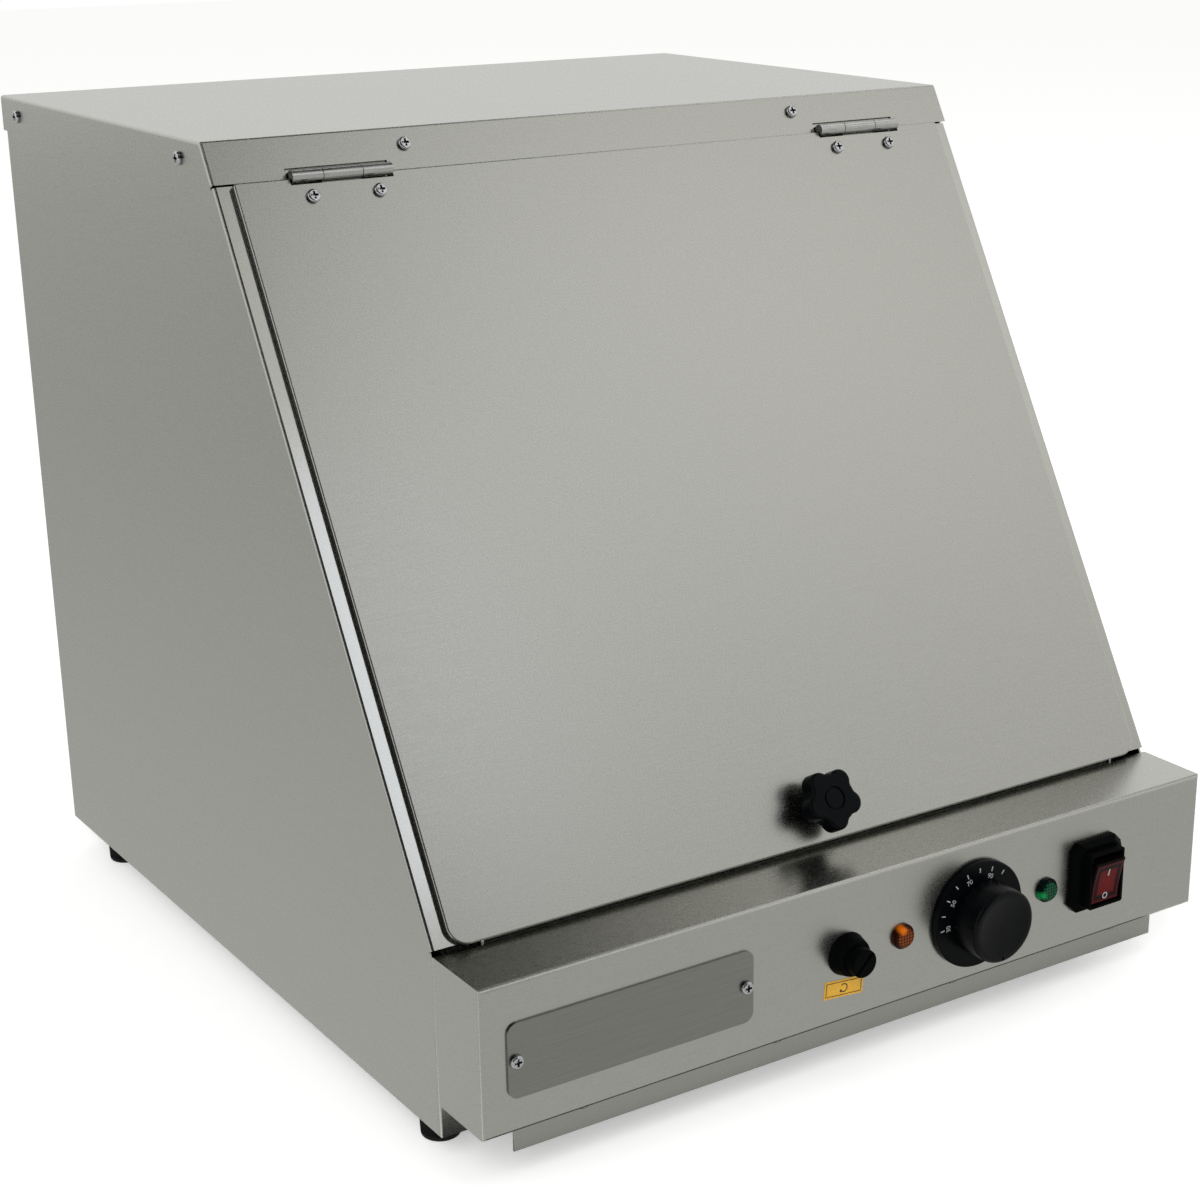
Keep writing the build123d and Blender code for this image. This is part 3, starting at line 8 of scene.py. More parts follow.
import bpy
import numpy as np
from mathutils import Euler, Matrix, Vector


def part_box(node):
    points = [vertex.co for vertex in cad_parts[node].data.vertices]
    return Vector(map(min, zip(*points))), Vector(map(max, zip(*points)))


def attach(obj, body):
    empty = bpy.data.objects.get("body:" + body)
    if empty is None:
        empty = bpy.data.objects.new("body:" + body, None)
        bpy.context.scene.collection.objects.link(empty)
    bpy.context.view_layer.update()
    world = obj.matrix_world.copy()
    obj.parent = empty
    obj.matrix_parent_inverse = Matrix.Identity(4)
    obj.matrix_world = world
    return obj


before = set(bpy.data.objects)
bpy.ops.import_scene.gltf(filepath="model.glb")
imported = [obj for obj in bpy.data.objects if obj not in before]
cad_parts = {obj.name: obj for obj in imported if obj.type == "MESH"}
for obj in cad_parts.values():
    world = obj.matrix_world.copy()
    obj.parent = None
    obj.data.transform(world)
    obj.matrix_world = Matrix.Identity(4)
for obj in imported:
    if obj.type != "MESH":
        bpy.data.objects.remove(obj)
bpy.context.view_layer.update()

mm = 0.001

# Camera: the photograph's viewpoint, with the picture taken as a 1200 by 1200 crop

camera_place = Vector((-0.751188, -1.189980, 0.658841))
camera_turn = Euler((radians(70.28918), radians(0.35069), radians(-34.10717)), "XYZ")
camera_lens = 70.577
camera_sensor = 36.0
camera_shift = (-0.05793, 0.07032)

camera = bpy.data.objects.new("camera", bpy.data.cameras.new("camera"))
bpy.context.scene.collection.objects.link(camera)
camera.location = camera_place
camera.rotation_euler = camera_turn
camera.data.lens = camera_lens
camera.data.sensor_width = camera_sensor
camera.data.shift_x, camera.data.shift_y = camera_shift
bpy.context.scene.camera = camera
bpy.context.scene.view_settings.view_transform = "Standard"


def linear(code):
    """The linear colour of an sRGB hex code, with an alpha of one."""
    parts = np.array([int(code[place:place + 2], 16) for place in (1, 3, 5)]) / 255
    parts = np.where(parts <= 0.04045, parts / 12.92, ((parts + 0.055) / 1.055) ** 2.4)
    return (*parts, 1.0)


def add(tree, kind, inputs, **settings):
    """Adds a shader node with its settings, its socket values and the sockets that feed it."""
    made = tree.nodes.new("ShaderNode" + kind)
    for name, value in settings.items():
        setattr(made, name, value)
    for name, value in inputs.items():
        if isinstance(value, bpy.types.NodeSocket):
            tree.links.new(value, made.inputs[name])
        else:
            made.inputs[name].default_value = value
    return made


def new_tree(name):
    """An empty material and its node tree."""
    made = bpy.data.materials.new(name)
    made.use_nodes = True
    made.node_tree.nodes.clear()
    return made, made.node_tree


# Noise: two octaves finer than its size, and the range in which nearly all of its values lie
noise_detail = 2.0
noise_low, noise_high = 0.32, 0.68

# Painted shade in recesses: the open share at which they are darkest, the one at which they are clear, and
# the tone of the painted shade
recess_shut, recess_open, recess_shade_tone = 0.45, 0.8, 0.05
recess_samples = 8


def wander(tree, layers):
    """A weighted sum of noises on Object coordinates, each layer a size in mm, its stretch and weight."""
    place = add(tree, "TexCoord", {}).outputs["Object"]
    total = 0.0
    for size, stretch, weight in layers:
        scale = [1 / (size * mm * along) for along in stretch]
        sized = add(tree, "Mapping", {"Vector": place, "Scale": scale}).outputs[0]
        inputs = {"Vector": sized, "Scale": 1.0, "Detail": noise_detail}
        noise = add(tree, "TexNoise", inputs).outputs["Fac"]
        summed = add(tree, "Math", {0: noise, 1: weight, 2: total}, operation="MULTIPLY_ADD")
        total = summed.outputs[0]
    return total


def spread(tree, value, low, high):
    """Noise values, which gather round one half, spread to a range."""
    inputs = {"Value": value, "From Min": noise_low, "From Max": noise_high, "To Min": low, "To Max": high}
    return add(tree, "MapRange", inputs).outputs[0]


def finish(name, dark, light, layers, rough, relief, crevice_shade=0.0, band=None, **shader):
    """A surface whose colour, gloss and height wander together over noises of real sizes.

    dark and light are its two tones, rough its range of roughness, relief its height in mm, and
    crevice_shade the reach in mm of painted shade, which darkens its recesses where light misses them.
    band gives a direction, a distance along it and the roughness of all that lies beyond.
    What follows goes to the shader's own sockets, with an underscore for each space in their names.
    """
    made, tree = new_tree(name)
    pattern = wander(tree, layers)
    blend = {0: spread(tree, pattern, 0.0, 1.0), 6: linear(dark), 7: linear(light)}
    tone = add(tree, "Mix", blend, data_type="RGBA").outputs[2]
    # Painted shade: the colour darkens in recesses, by how much of the open air around them is hidden
    if crevice_shade > 0:
        inputs = {"Distance": crevice_shade * mm}
        open_share = add(tree, "AmbientOcclusion", inputs, samples=recess_samples).outputs["AO"]
        inputs = {"Value": open_share, "From Min": recess_shut, "From Max": recess_open}
        inputs.update({"To Min": recess_shade_tone, "To Max": 1.0})
        shade = add(tree, "MapRange", inputs).outputs[0]
        inputs = {0: 1.0, 6: tone, 7: shade}
        tone = add(tree, "Mix", inputs, data_type="RGBA", blend_type="MULTIPLY").outputs[2]
    gloss = spread(tree, pattern, *rough)
    if band is not None:
        direction, edge, band_rough = band
        place = add(tree, "TexCoord", {}).outputs["Object"]
        along = add(tree, "VectorMath", {0: place, 1: direction}, operation="DOT_PRODUCT").outputs["Value"]
        beyond = add(tree, "Math", {0: along, 1: edge}, operation="GREATER_THAN").outputs[0]
        gloss = add(tree, "Mix", {0: beyond, 2: gloss, 3: band_rough}).outputs[0]
    bump = add(tree, "Bump", {"Height": pattern, "Strength": 1.0, "Distance": relief * mm}).outputs[0]
    inputs = {"Base Color": tone, "Roughness": gloss, "Normal": bump}
    inputs.update({words.replace("_", " "): value for words, value in shader.items()})
    surface = add(tree, "BsdfPrincipled", inputs).outputs[0]
    add(tree, "OutputMaterial", {"Surface": surface})
    return made


# Studio: white all round for the eye and for reflections, softer for what lights the object

seen_white = 1.0
room_level = 0.62
floor_shade = "#EFEFED"
floor_lift = 0.42
floor_half = 9.0
lamp_size = 1.6


def seen_or_mirrored(tree):
    """One for a ray that the eye sees or that metal or glass sends on, and zero for the rest."""
    path = add(tree, "LightPath", {}).outputs
    either = add(tree, "Math", {0: path["Is Camera Ray"], 1: path["Is Glossy Ray"]}, operation="MAXIMUM")
    inputs = {0: either.outputs[0], 1: path["Is Transmission Ray"]}
    return add(tree, "Math", inputs, operation="MAXIMUM").outputs[0]


world = bpy.data.worlds.new("studio")
bpy.context.scene.world = world
world.use_nodes = True
world.node_tree.nodes.clear()
brightness = {
    "Value": seen_or_mirrored(world.node_tree),
    "To Min": room_level,
    "To Max": seen_white,
}
brightness = add(world.node_tree, "MapRange", brightness).outputs[0]
glow = add(world.node_tree, "Background", {"Color": linear("#FFFFFF"), "Strength": brightness})
add(world.node_tree, "OutputWorld", {"Surface": glow.outputs[0]})


def mesh_piece(name, points, faces, finish_of):
    """A mesh object from an array of points and a list of arrays of corner numbers."""
    corners = [face for group in faces for face in group.tolist()]
    mesh = bpy.data.meshes.new(name)
    mesh.from_pydata(np.asarray(points, float).tolist(), [], corners)
    mesh.materials.append(finish_of)
    made = bpy.data.objects.new(name, mesh)
    bpy.context.scene.collection.objects.link(made)
    return made


def quad(name, corner, across, along, finish_of):
    """A flat sheet: corner + s * across + t * along, for s and t from zero to one."""
    s, t = np.array([0, 1, 1, 0]), np.array([0, 0, 1, 1])
    points = np.array(corner) + s[:, None] * np.array(across) + t[:, None] * np.array(along)
    return mesh_piece(name, points, [np.arange(4)[None]], finish_of)


# Matt white board: the object's shadow falls on it, and the lift makes it read as white paper
board, tree = new_tree("matt_white_board")
matt = add(tree, "BsdfDiffuse", {"Color": linear(floor_shade)}).outputs[0]
lift = add(tree, "Math", {0: seen_or_mirrored(tree), 1: floor_lift}, operation="MULTIPLY").outputs[0]
lift = add(tree, "Emission", {"Color": linear("#FFFFFF"), "Strength": lift}).outputs[0]
add(tree, "OutputMaterial", {"Surface": add(tree, "AddShader", {0: matt, 1: lift}).outputs[0]})
floor = quad(
    "floor",
    (-floor_half, -floor_half, 0.0),
    (2 * floor_half, 0.0, 0.0),
    (0.0, 2 * floor_half, 0.0),
    board,
)


def flag(name, corner, across, along, level, patch=None, tint="#FFFFFD"):
    """A studio flag that only reflections see, at one level, with a brighter round patch if asked."""
    made, tree = new_tree(name)
    strength = level
    if patch is not None:
        centre, radius, gain = patch
        place = add(tree, "TexCoord", {}).outputs["Object"]
        inputs = {"Vector": place, "Scale": (1 / radius,) * 3}
        inputs["Location"] = tuple(-part / radius for part in centre)
        near = add(tree, "Mapping", inputs).outputs[0]
        fall = add(tree, "TexGradient", {"Vector": near}, gradient_type="SPHERICAL").outputs["Fac"]
        strength = add(tree, "Math", {0: fall, 1: gain, 2: level}, operation="MULTIPLY_ADD").outputs[0]
    light = add(tree, "Emission", {"Color": linear(tint), "Strength": strength}).outputs[0]
    add(tree, "OutputMaterial", {"Surface": light})
    card = quad(name, corner, across, along, made)
    card.visible_camera = False
    card.visible_diffuse = False
    card.visible_transmission = False
    card.visible_shadow = False


# Where the flags stand: the wall in front and its left end, the ceiling and its front edge, and the
# boards just over the floor
wall_y, left_x, ceiling_y, ceiling_z, board_z = -3.2, -4.0, -1.4, 3.5, 0.002
cloth_height, ceiling_depth = 3.6, 3.0

# Grey boards on the floor beside and before the object, and a paler one far behind it
near_side = ((-0.3, -0.1, board_z), 1.6, 0.13)
flag("side_flag", (-6.0, -0.25, board_z), (5.745, 0.0, 0.0), (0.0, 6.25, 0.0), 0.53, near_side)
flag("front_flag", (-1.2, wall_y, board_z), (5.2, 0.0, 0.0), (0.0, 2.92, 0.0), 0.64)
flag("back_flag", (-8.0, 8.0, 0.0), (24.0, 0.0, 0.0), (0.0, 0.0, 2.4), 0.83)

# A bright wall on the front right with its own hot spot, and a leaning strip that the jambs mirror
wall_spot = ((3.4, wall_y, 4.1), 2.2, 0.57)
flag("wall_flag", (1.0, wall_y, 0.0), (6.2, 0.0, 0.0), (0.0, 0.0, 7.0), 0.76, wall_spot)
flag("strip_flag", (1.28, -3.17, 2.0), (0.34, 0.0, 0.0), (0.28, 0.0, 1.4), 2.2, tint="#F0F4FF")

# Black cloth on the front left and overhead: it darkens the bends and the sides of small parts
cloth_level = 0.04
flag("front_cloth", (left_x, wall_y, 0.0), (5.0, 0.0, 0.0), (0.0, 0.0, cloth_height), cloth_level)
flag("leaning_cloth", (left_x, -3.15, cloth_height), (5.2, 0.0, 0.0), (1.4, 0.0, 2.0), cloth_level)
flag("left_cloth", (left_x, wall_y, 0.0), (0.0, 1.7, 0.0), (0.0, 0.0, 6.0), cloth_level)
flag("ceiling_cloth", (-3.0, ceiling_y, ceiling_z), (4.76, 0.0, 0.0), (0.0, ceiling_depth, 0.0), cloth_level)

# A grey sheet overhead with a hot spot, which the console's top mirrors by way of the lid
ceiling_spot = ((2.3, -0.1, ceiling_z), 0.9, 2.1)
ceiling_corner = (1.78, ceiling_y, ceiling_z)
flag("ceiling_flag", ceiling_corner, (4.1, 0.0, 0.0), (0.0, ceiling_depth, 0.0), 0.5, ceiling_spot)

# A dark sheet that stands in for the shade beneath the object: painted shade that begins a little before the
# console and darkens its lower bend
shade_ahead, shade_z, shade_depth, shade_level = 0.014, 0.003, 0.58, 0.03
console_low, console_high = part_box("console_housing")
shade_corner = (console_low.x, console_low.y - shade_ahead, shade_z)
shade_across = (console_high.x - console_low.x, 0.0, 0.0)
flag("painted_under_shade", shade_corner, shade_across, (0.0, shade_depth, 0.0), shade_level)


def softbox(name, place, target, power, size):
    """A square soft lamp at a place, facing a target, seen neither by the eye nor in reflections."""
    lamp = bpy.data.lights.new(name, "AREA")
    lamp.shape = "SQUARE"
    lamp.size = size
    lamp.energy = power
    made = bpy.data.objects.new(name, lamp)
    bpy.context.scene.collection.objects.link(made)
    made.location = place
    made.rotation_euler = (Vector(target) - Vector(place)).to_track_quat("-Z", "Y").to_euler()
    made.visible_camera = False
    made.visible_glossy = False


object_middle = (0.0, 0.0, 0.25)
key_place, key_power = (-2.2, -2.6, 2.6), 75.0
fill_place, fill_power = (2.8, -1.8, 2.2), 28.0
softbox("key_lamp", key_place, object_middle, key_power, lamp_size)
softbox("fill_lamp", fill_place, object_middle, fill_power, lamp_size)

# Finishes of the sheet metal. In every finish the sizes of a pattern are real ones in mm where the camera
# can see them. Brush lines, press and turning marks and moulded textures are really 0.1 to 0.2 mm, and
# are drawn 0.5 to 0.9 mm so that they show.

even = (1.0, 1.0, 1.0)
across_grain = (30.0, 1.0, 1.0)
fore_and_aft_grain = (1.0, 30.0, 1.0)

# Satin stainless steel, cold rolled and lightly brushed: a soft mirror with a fine salt-and-pepper
# grain. The real grain is about 0.2 mm too, and is drawn 1.3 mm.
steel_tones = ("#B0B0AA", "#B7B7B1")
grain_size, brush_size = 1.3, 0.9
satin_rough, satin_relief = (0.25, 0.31), 0.002


def satin(name, tones, lay, band=None):
    """Satin stainless steel of two tones, whose brush lines are stretched along lay."""
    layers = ((grain_size, even, 0.6), (brush_size, lay, 0.4))
    return finish(name, *tones, layers, satin_rough, satin_relief, band=band, Metallic=1.0)


# The jambs are the side panels' flanges along the slope. Rolled over the bend, they are smoother than
# the rest of the panel, which is all that lies beyond a plane just under the slope.
slope = radians(60.0)
sill_height, jamb_margin = 0.128, 0.3
jamb_rough = 0.15
slope_out = Vector((0, -sin(slope), cos(slope)))
sill_point = Vector((0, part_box("left_side")[0].y, sill_height))
jamb_band = (tuple(slope_out), slope_out.dot(sill_point) - jamb_margin * mm, jamb_rough)

satin_across = satin("satin_stainless_brushed_across", steel_tones, across_grain)
satin_fore_aft = satin("satin_stainless_brushed_fore_and_aft", steel_tones, fore_and_aft_grain, jamb_band)

# The crumb tray's stainless: the same satin sheet, a little darker as painted shade where it lies under the
# console
tray_shaded_tones = ("#A3A39D", "#A8A8A2")
satin_tray_shaded = satin("satin_stainless_with_painted_shade", tray_shaded_tones, across_grain)

# Brushed stainless plate: the same steel with long plain brush lines and a greyer tone
plate_steel = finish(
    "brushed_stainless_plate",
    "#868681",
    "#8F8F8A",
    ((0.8, (45.0, 1.0, 1.0), 0.8), (grain_size, even, 0.2)),
    (0.27, 0.33),
    0.003,
    Metallic=1.0,
)

# Bright rolled steel of the chip pan: smoother, with a slight smear of handling
bright_steel = finish(
    "bright_rolled_stainless",
    "#8F8F8A",
    "#9B9B96",
    ((25.0, even, 0.5), (grain_size, even, 0.5)),
    (0.24, 0.30),
    0.003,
    Metallic=1.0,
)

# Pressed hinge steel: fairly bright leaves and knuckles with fine press marks along them, and painted shade
# in their recesses
hinge_steel = finish(
    "pressed_hinge_steel",
    "#A9A9A6",
    "#BDBDBA",
    ((0.7, (12.0, 1.0, 1.0), 0.7), (3.0, even, 0.3)),
    (0.2, 0.28),
    0.01,
    crevice_shade=1.2,
    Metallic=1.0,
)

# Bright zinc-plated screws and nuts: quite sharp highlights with a faint cloudiness, and painted shade in
# their recesses and cross slots
screw_zinc = finish(
    "bright_zinc_plating",
    "#B2B3B5",
    "#C6C7C9",
    ((0.8, even, 1.0),),
    (0.12, 0.2),
    0.006,
    crevice_shade=1.6,
    Metallic=1.0,
)

# Heat-tinted element sheath: matt grey-brown oxide on a drawn tube
element_oxide = finish(
    "oxidised_element_sheath",
    "#4B4642",
    "#6B6560",
    ((4.0, even, 0.6), (0.8, even, 0.4)),
    (0.5, 0.66),
    0.03,
    Metallic=0.85,
)

# Drawn copper capillary with a light tarnish
copper = finish(
    "drawn_copper",
    "#A5683F",
    "#C98A5E",
    ((6.0, even, 0.7), (0.6, even, 0.3)),
    (0.26, 0.4),
    0.01,
    Metallic=1.0,
)

# Turned brass nuts: fine turning marks and a soft yellow shine
brass = finish(
    "turned_brass",
    "#A98B4E",
    "#C9AC6A",
    ((0.5, (1.0, 6.0, 1.0), 0.6), (3.0, even, 0.4)),
    (0.24, 0.36),
    0.01,
    Metallic=1.0,
)

# Finishes of the plastics and rubber

# Moulded black ABS of the reset parts, switch frame and lamp bodies: a light spark-eroded texture
black_abs = finish(
    "moulded_black_abs",
    "#030404",
    "#060707",
    ((0.6, even, 0.7), (9.0, even, 0.3)),
    (0.36, 0.46),
    0.012,
    Specular_IOR_Level=0.02,
)

# Black nylon of the star knob and the dial skirt: a touch glossier, with a glass-fibre haze
black_nylon = finish(
    "moulded_black_nylon",
    "#040506",
    "#080A0C",
    ((0.7, even, 0.6), (5.0, even, 0.4)),
    (0.28, 0.36),
    0.01,
    Specular_IOR_Level=0.06,
)

# Black phenolic of the dial's grip: pressed and polished, so its highlights are small and clear
phenolic = finish(
    "pressed_black_phenolic",
    "#030405",
    "#07080A",
    ((14.0, even, 0.6), (0.8, even, 0.4)),
    (0.22, 0.31),
    0.004,
    Specular_IOR_Level=0.12,
)

# Ivory nylon of the terminal block: milky and even
ivory_nylon = finish(
    "moulded_ivory_nylon",
    "#D3CBB4",
    "#E2DBC6",
    ((2.0, even, 1.0),),
    (0.4, 0.5),
    0.01,
    IOR=1.53,
    Subsurface_Weight=0.15,
)

# Black rubber feet: dull, with a dusty grain
black_rubber = finish(
    "moulded_black_rubber",
    "#0D0D0E",
    "#171718",
    ((0.8, even, 0.6), (4.0, even, 0.4)),
    (0.62, 0.78),
    0.03,
    Specular_IOR_Level=0.2,
)

# White pad-printing ink, and black ink of the label: thin, slightly uneven films
white_ink = finish(
    "white_printing_ink",
    "#96979A",
    "#A8A9AC",
    ((0.5, even, 1.0),),
    (0.4, 0.5),
    0.002,
    IOR=1.5,
)
black_ink = finish(
    "black_printing_ink",
    "#1B1710",
    "#2B2518",
    ((0.5, even, 1.0),),
    (0.4, 0.5),
    0.002,
    IOR=1.5,
)

# Yellow vinyl label under a clear film: even colour with a soft sheen
yellow_vinyl = finish(
    "printed_yellow_vinyl",
    "#CF9A22",
    "#DDA92C",
    ((1.5, even, 1.0),),
    (0.3, 0.38),
    0.004,
    IOR=1.5,
)


# Lenses: the grid's pitch and relief in mm, where the wall's painted shade begins and is full, and how far
# # the painted glow is full and reaches, all four as shares of half the lens
prism_pitch, prism_relief = 1.9, 0.1
wall_from, wall_full = 0.66, 0.84
glow_full, glow_end = 0.1, 0.5
lens_rough, lens_specular = 0.2, 0.12


def lens(name, tones, node, glow_at):
    """Clear tinted polycarbonate, moulded inside with a square grid of small prisms.

    The grid is the fold of x and z at half the pitch: dark in the valleys, light on the prisms, with
    slopes a third of the pitch wide. The wall round it is painted in shade, but for one side where a
    painted glow stands for the light it gathers, at a place in shares of half the lens.
    tones are those of the valleys, the prisms, the wall's painted shade and the painted glow.
    """
    made, tree = new_tree(name)
    valley, prism, wall, glow = (linear(code) for code in tones)
    low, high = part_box(node)
    middle = Vector(((low.x + high.x) / 2, 0.0, (low.z + high.z) / 2))
    half = (high.z - low.z) / 2
    place = add(tree, "TexCoord", {}).outputs["Object"]
    place = add(tree, "Mapping", {"Vector": place, "Location": tuple(-middle)}).outputs[0]
    place = add(tree, "VectorMath", {0: place, 1: (1, 0, 1)}, operation="MULTIPLY").outputs[0]
    parts = add(tree, "SeparateXYZ", {0: place}).outputs
    folds = []
    for axis in ("X", "Z"):
        inputs = {0: parts[axis], 1: prism_pitch * mm / 2}
        fold = add(tree, "Math", inputs, operation="PINGPONG").outputs[0]
        inputs = {"Value": fold, "From Min": 0.0, "From Max": prism_pitch * mm / 3}
        folds.append(add(tree, "MapRange", inputs, interpolation_type="SMOOTHSTEP").outputs[0])
    grid = add(tree, "Math", {0: folds[0], 1: folds[1]}, operation="MULTIPLY").outputs[0]
    tone = add(tree, "Mix", {0: grid, 6: valley, 7: prism}, data_type="RGBA").outputs[2]
    # Painted shade on the wall round the lens, full towards its rim
    reach = add(tree, "VectorMath", {0: place}, operation="LENGTH").outputs["Value"]
    inputs = {"Value": reach, "From Min": wall_from * half, "From Max": wall_full * half}
    rim = add(tree, "MapRange", inputs, interpolation_type="SMOOTHSTEP").outputs[0]
    tone = add(tree, "Mix", {0: rim, 6: tone, 7: wall}, data_type="RGBA").outputs[2]
    # Painted glow: a lighter patch on one side, standing for the light the lens gathers
    centre = (glow_at[0] * half, 0.0, glow_at[1] * half)
    away = add(tree, "VectorMath", {0: place, 1: centre}, operation="DISTANCE").outputs["Value"]
    inputs = {"Value": away, "From Min": glow_full * half, "From Max": glow_end * half}
    inputs.update({"To Min": 1.0, "To Max": 0.0})
    bright = add(tree, "MapRange", inputs, interpolation_type="SMOOTHSTEP").outputs[0]
    tone = add(tree, "Mix", {0: bright, 6: tone, 7: glow}, data_type="RGBA").outputs[2]
    bump = add(tree, "Bump", {"Height": grid, "Strength": 1.0, "Distance": prism_relief * mm}).outputs[0]
    inputs = {
        "Base Color": tone,
        "Roughness": lens_rough,
        "Normal": bump,
        "Specular IOR Level": lens_specular,
    }
    add(tree, "OutputMaterial", {"Surface": add(tree, "BsdfPrincipled", inputs).outputs[0]})
    return made


# Tones of the valleys, the prisms, the wall's painted shade and the painted glow, and where each painted
# glow lies
amber_tones = ("#3A1003", "#7A3E0E", "#260A02", "#C4620A")
green_tones = ("#031C13", "#0B5434", "#01100C", "#0B8244")
amber_glow, green_glow = (-0.3, 0.72), (-0.78, -0.25)
amber_lens = lens("moulded_amber_polycarbonate", amber_tones, "amber_lens", amber_glow)
green_lens = lens("moulded_green_polycarbonate", green_tones, "green_lens", green_glow)

# Rocker as the model has it: its face lies at rocker_reach from the pivot, hollowed by rocker_dish

rocker_half_width, rocker_half_height = 11.25, 14.0
rocker_reach, rocker_dish = 10.0, 1.2
rocker_tilt = radians(10.0)
rocker_across = (1, 0, 0)
rocker_up = (0, -sin(rocker_tilt), cos(rocker_tilt))
rocker_out = (0, -cos(rocker_tilt), -sin(rocker_tilt))
rocker_pivot_out, rocker_pivot_rise = 4.0, 2.0
dial_low, dial_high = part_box("dial_skirt")
rocker_low, rocker_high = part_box("rocker")
rocker_x = (rocker_low.x + rocker_high.x) / 2
control_z = (dial_low.z + dial_high.z) / 2
rocker_y = console_low.y - rocker_pivot_out * mm
rocker_pivot = Vector((rocker_x, rocker_y, control_z + rocker_pivot_rise * mm))

# From the middle to the rim: the window, the dark frame round it, the red border and the dark edge
rocker_tones = (
    (0.0, "#5E1316"), (0.54, "#541214"), (0.64, "#18080A"), (0.76, "#1E0A0C"),
    (0.86, "#441013"), (0.9, "#441013"), (0.925, "#080304"),
)
rocker_grain, rocker_relief = 0.8, 0.006
rocker_rough, rocker_specular = (0.22, 0.3), 0.06


def red_rocker():
    """Red polycarbonate over a dark chamber, with a brighter window in its middle.

    The distance from the middle is the larger of |x| and |height|, each over its half size, with
    both measured along the tilted rocker.
    """
    made, tree = new_tree("moulded_red_polycarbonate")
    place = add(tree, "TexCoord", {}).outputs["Object"]
    inputs = {"Vector": place, "Location": tuple(-rocker_pivot)}
    place = add(tree, "Mapping", inputs).outputs[0]
    shares = []
    for axis, half in ((rocker_across, rocker_half_width), (rocker_up, rocker_half_height)):
        along = add(tree, "VectorMath", {0: place, 1: axis}, operation="DOT_PRODUCT").outputs["Value"]
        flat = add(tree, "Math", {0: along}, operation="ABSOLUTE").outputs[0]
        shares.append(add(tree, "Math", {0: flat, 1: half * mm}, operation="DIVIDE").outputs[0])
    share = add(tree, "Math", {0: shares[0], 1: shares[1]}, operation="MAXIMUM").outputs[0]
    ramp = add(tree, "ValToRGB", {"Fac": share})
    for stop, _ in rocker_tones[1:-1]:
        ramp.color_ramp.elements.new(stop)
    for element, (stop, code) in zip(ramp.color_ramp.elements, rocker_tones):
        element.position = stop
        element.color = linear(code)
    grain = wander(tree, ((rocker_grain, even, 1.0),))
    bump = {"Height": grain, "Strength": 1.0, "Distance": rocker_relief * mm}
    inputs = {
        "Base Color": ramp.outputs[0],
        "Roughness": spread(tree, grain, *rocker_rough),
        "Normal": add(tree, "Bump", bump).outputs[0],
        "Specular IOR Level": rocker_specular,
    }
    add(tree, "OutputMaterial", {"Surface": add(tree, "BsdfPrincipled", inputs).outputs[0]})
    return made


finishes = {
    satin_across: (
        "top_cover", "console_housing", "console_floor", "lid_panel", "lid_liner", "front_panel",
        "header", "back_panel", "base_pan", "heat_shield",
    ),
    satin_tray_shaded: ("crumb_tray",),
    satin_fore_aft: ("left_side", "right_side", "pan_rails", "tray_runners", "element_supports"),
    plate_steel: ("blank_plate",),
    bright_steel: ("chip_pan",),
    hinge_steel: ("fixed_leaves", "lid_leaves", "hinge_pins", "bulb_clips"),
    screw_zinc: (
        "cover_screws", "console_screws", "plate_screws", "hinge_screws", "leaf_rivets",
        "foot_screws", "foot_nuts", "knob_stud", "knob_nut", "thermostat_screws", "gland_nut",
        "element_terminals", "dial_shaft",
    ),
    element_oxide: ("heating_element",),
    copper: ("control_bulb", "limiter_bulb"),
    brass: ("element_nuts",),
    black_abs: (
        "reset_cap", "reset_collar", "reset_button", "switch_frame", "amber_holder", "green_holder",
        "limiter_body", "thermostat_body", "cable_gland",
    ),
    black_nylon: ("star_knob", "knob_cap", "dial_skirt"),
    phenolic: ("dial_grip",),
    ivory_nylon: ("terminal_block",),
    black_rubber: ("feet",),
    amber_lens: ("amber_lens",),
    green_lens: ("green_lens",),
    red_rocker(): ("rocker",),
    yellow_vinyl: ("reset_label",),
}
for finish_of, names in finishes.items():
    for name in names:
        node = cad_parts[name]
        node.data.materials.clear()
        node.data.materials.append(finish_of)
unfinished = set(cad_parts) - {name for names in finishes.values() for name in names}
assert not unfinished, sorted(unfinished)

# Printed marks, each a thin closed film laid on the surface that carries it. Real ink is about 0.02 mm
# thick, and is drawn 0.08 mm so that it stands clear of that surface.

film = 0.08


def ribbon(inner, outer, closed, thickness):
    """A flat band between two lines of points, given as a closed box section carried along them.

    The four corners of the section at step i are inner(i) and outer(i), below and above.
    """
    inner, outer = np.asarray(inner, float), np.asarray(outer, float)
    count = len(inner)
    rows = np.stack([inner, outer, outer, inner])
    heights = np.array([0.0, 0.0, thickness, thickness])[:, None, None] * np.ones((1, count, 1))
    points = np.concatenate([rows, heights], axis=2).reshape(-1, 3)
    start = np.arange(count if closed else count - 1)
    after = (start + 1) % count
    row = np.arange(4)[:, None]
    beside = (row + 1) % 4
    walls = np.stack(
        [row * count + start, beside * count + start, beside * count + after, row * count + after],
        axis=2,
    )
    faces = [walls.reshape(-1, 4)]
    if not closed:
        faces.append((np.arange(4)[::-1] * count)[None])
        faces.append((np.arange(4) * count + count - 1)[None])
    return points, faces


def join(parts):
    """Several sets of points and faces as one set."""
    offsets = np.cumsum([0] + [len(points) for points, faces in parts])
    points = np.concatenate([points for points, faces in parts])
    return points, [group + offset for (_, faces), offset in zip(parts, offsets) for group in faces]


def laid(points, origin, right, up, out):
    """Points in mm on a surface's own axes, placed in the model's frame in metres."""
    axes = np.array([right, up, out], float)
    return np.array(origin, float) + mm * np.asarray(points, float) @ axes


def film_piece(name, parts, axes, finish_of, body):
    """A printed mark made from joined parts, laid on a surface and carried by a body."""
    points, faces = join(parts)
    made = mesh_piece(name, laid(points, *axes), faces, finish_of)
    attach(made, body)


# Numerals: their height as a share of the type's size, and the steps of each curve in them
numeral_share = 0.7
curve_steps = 3


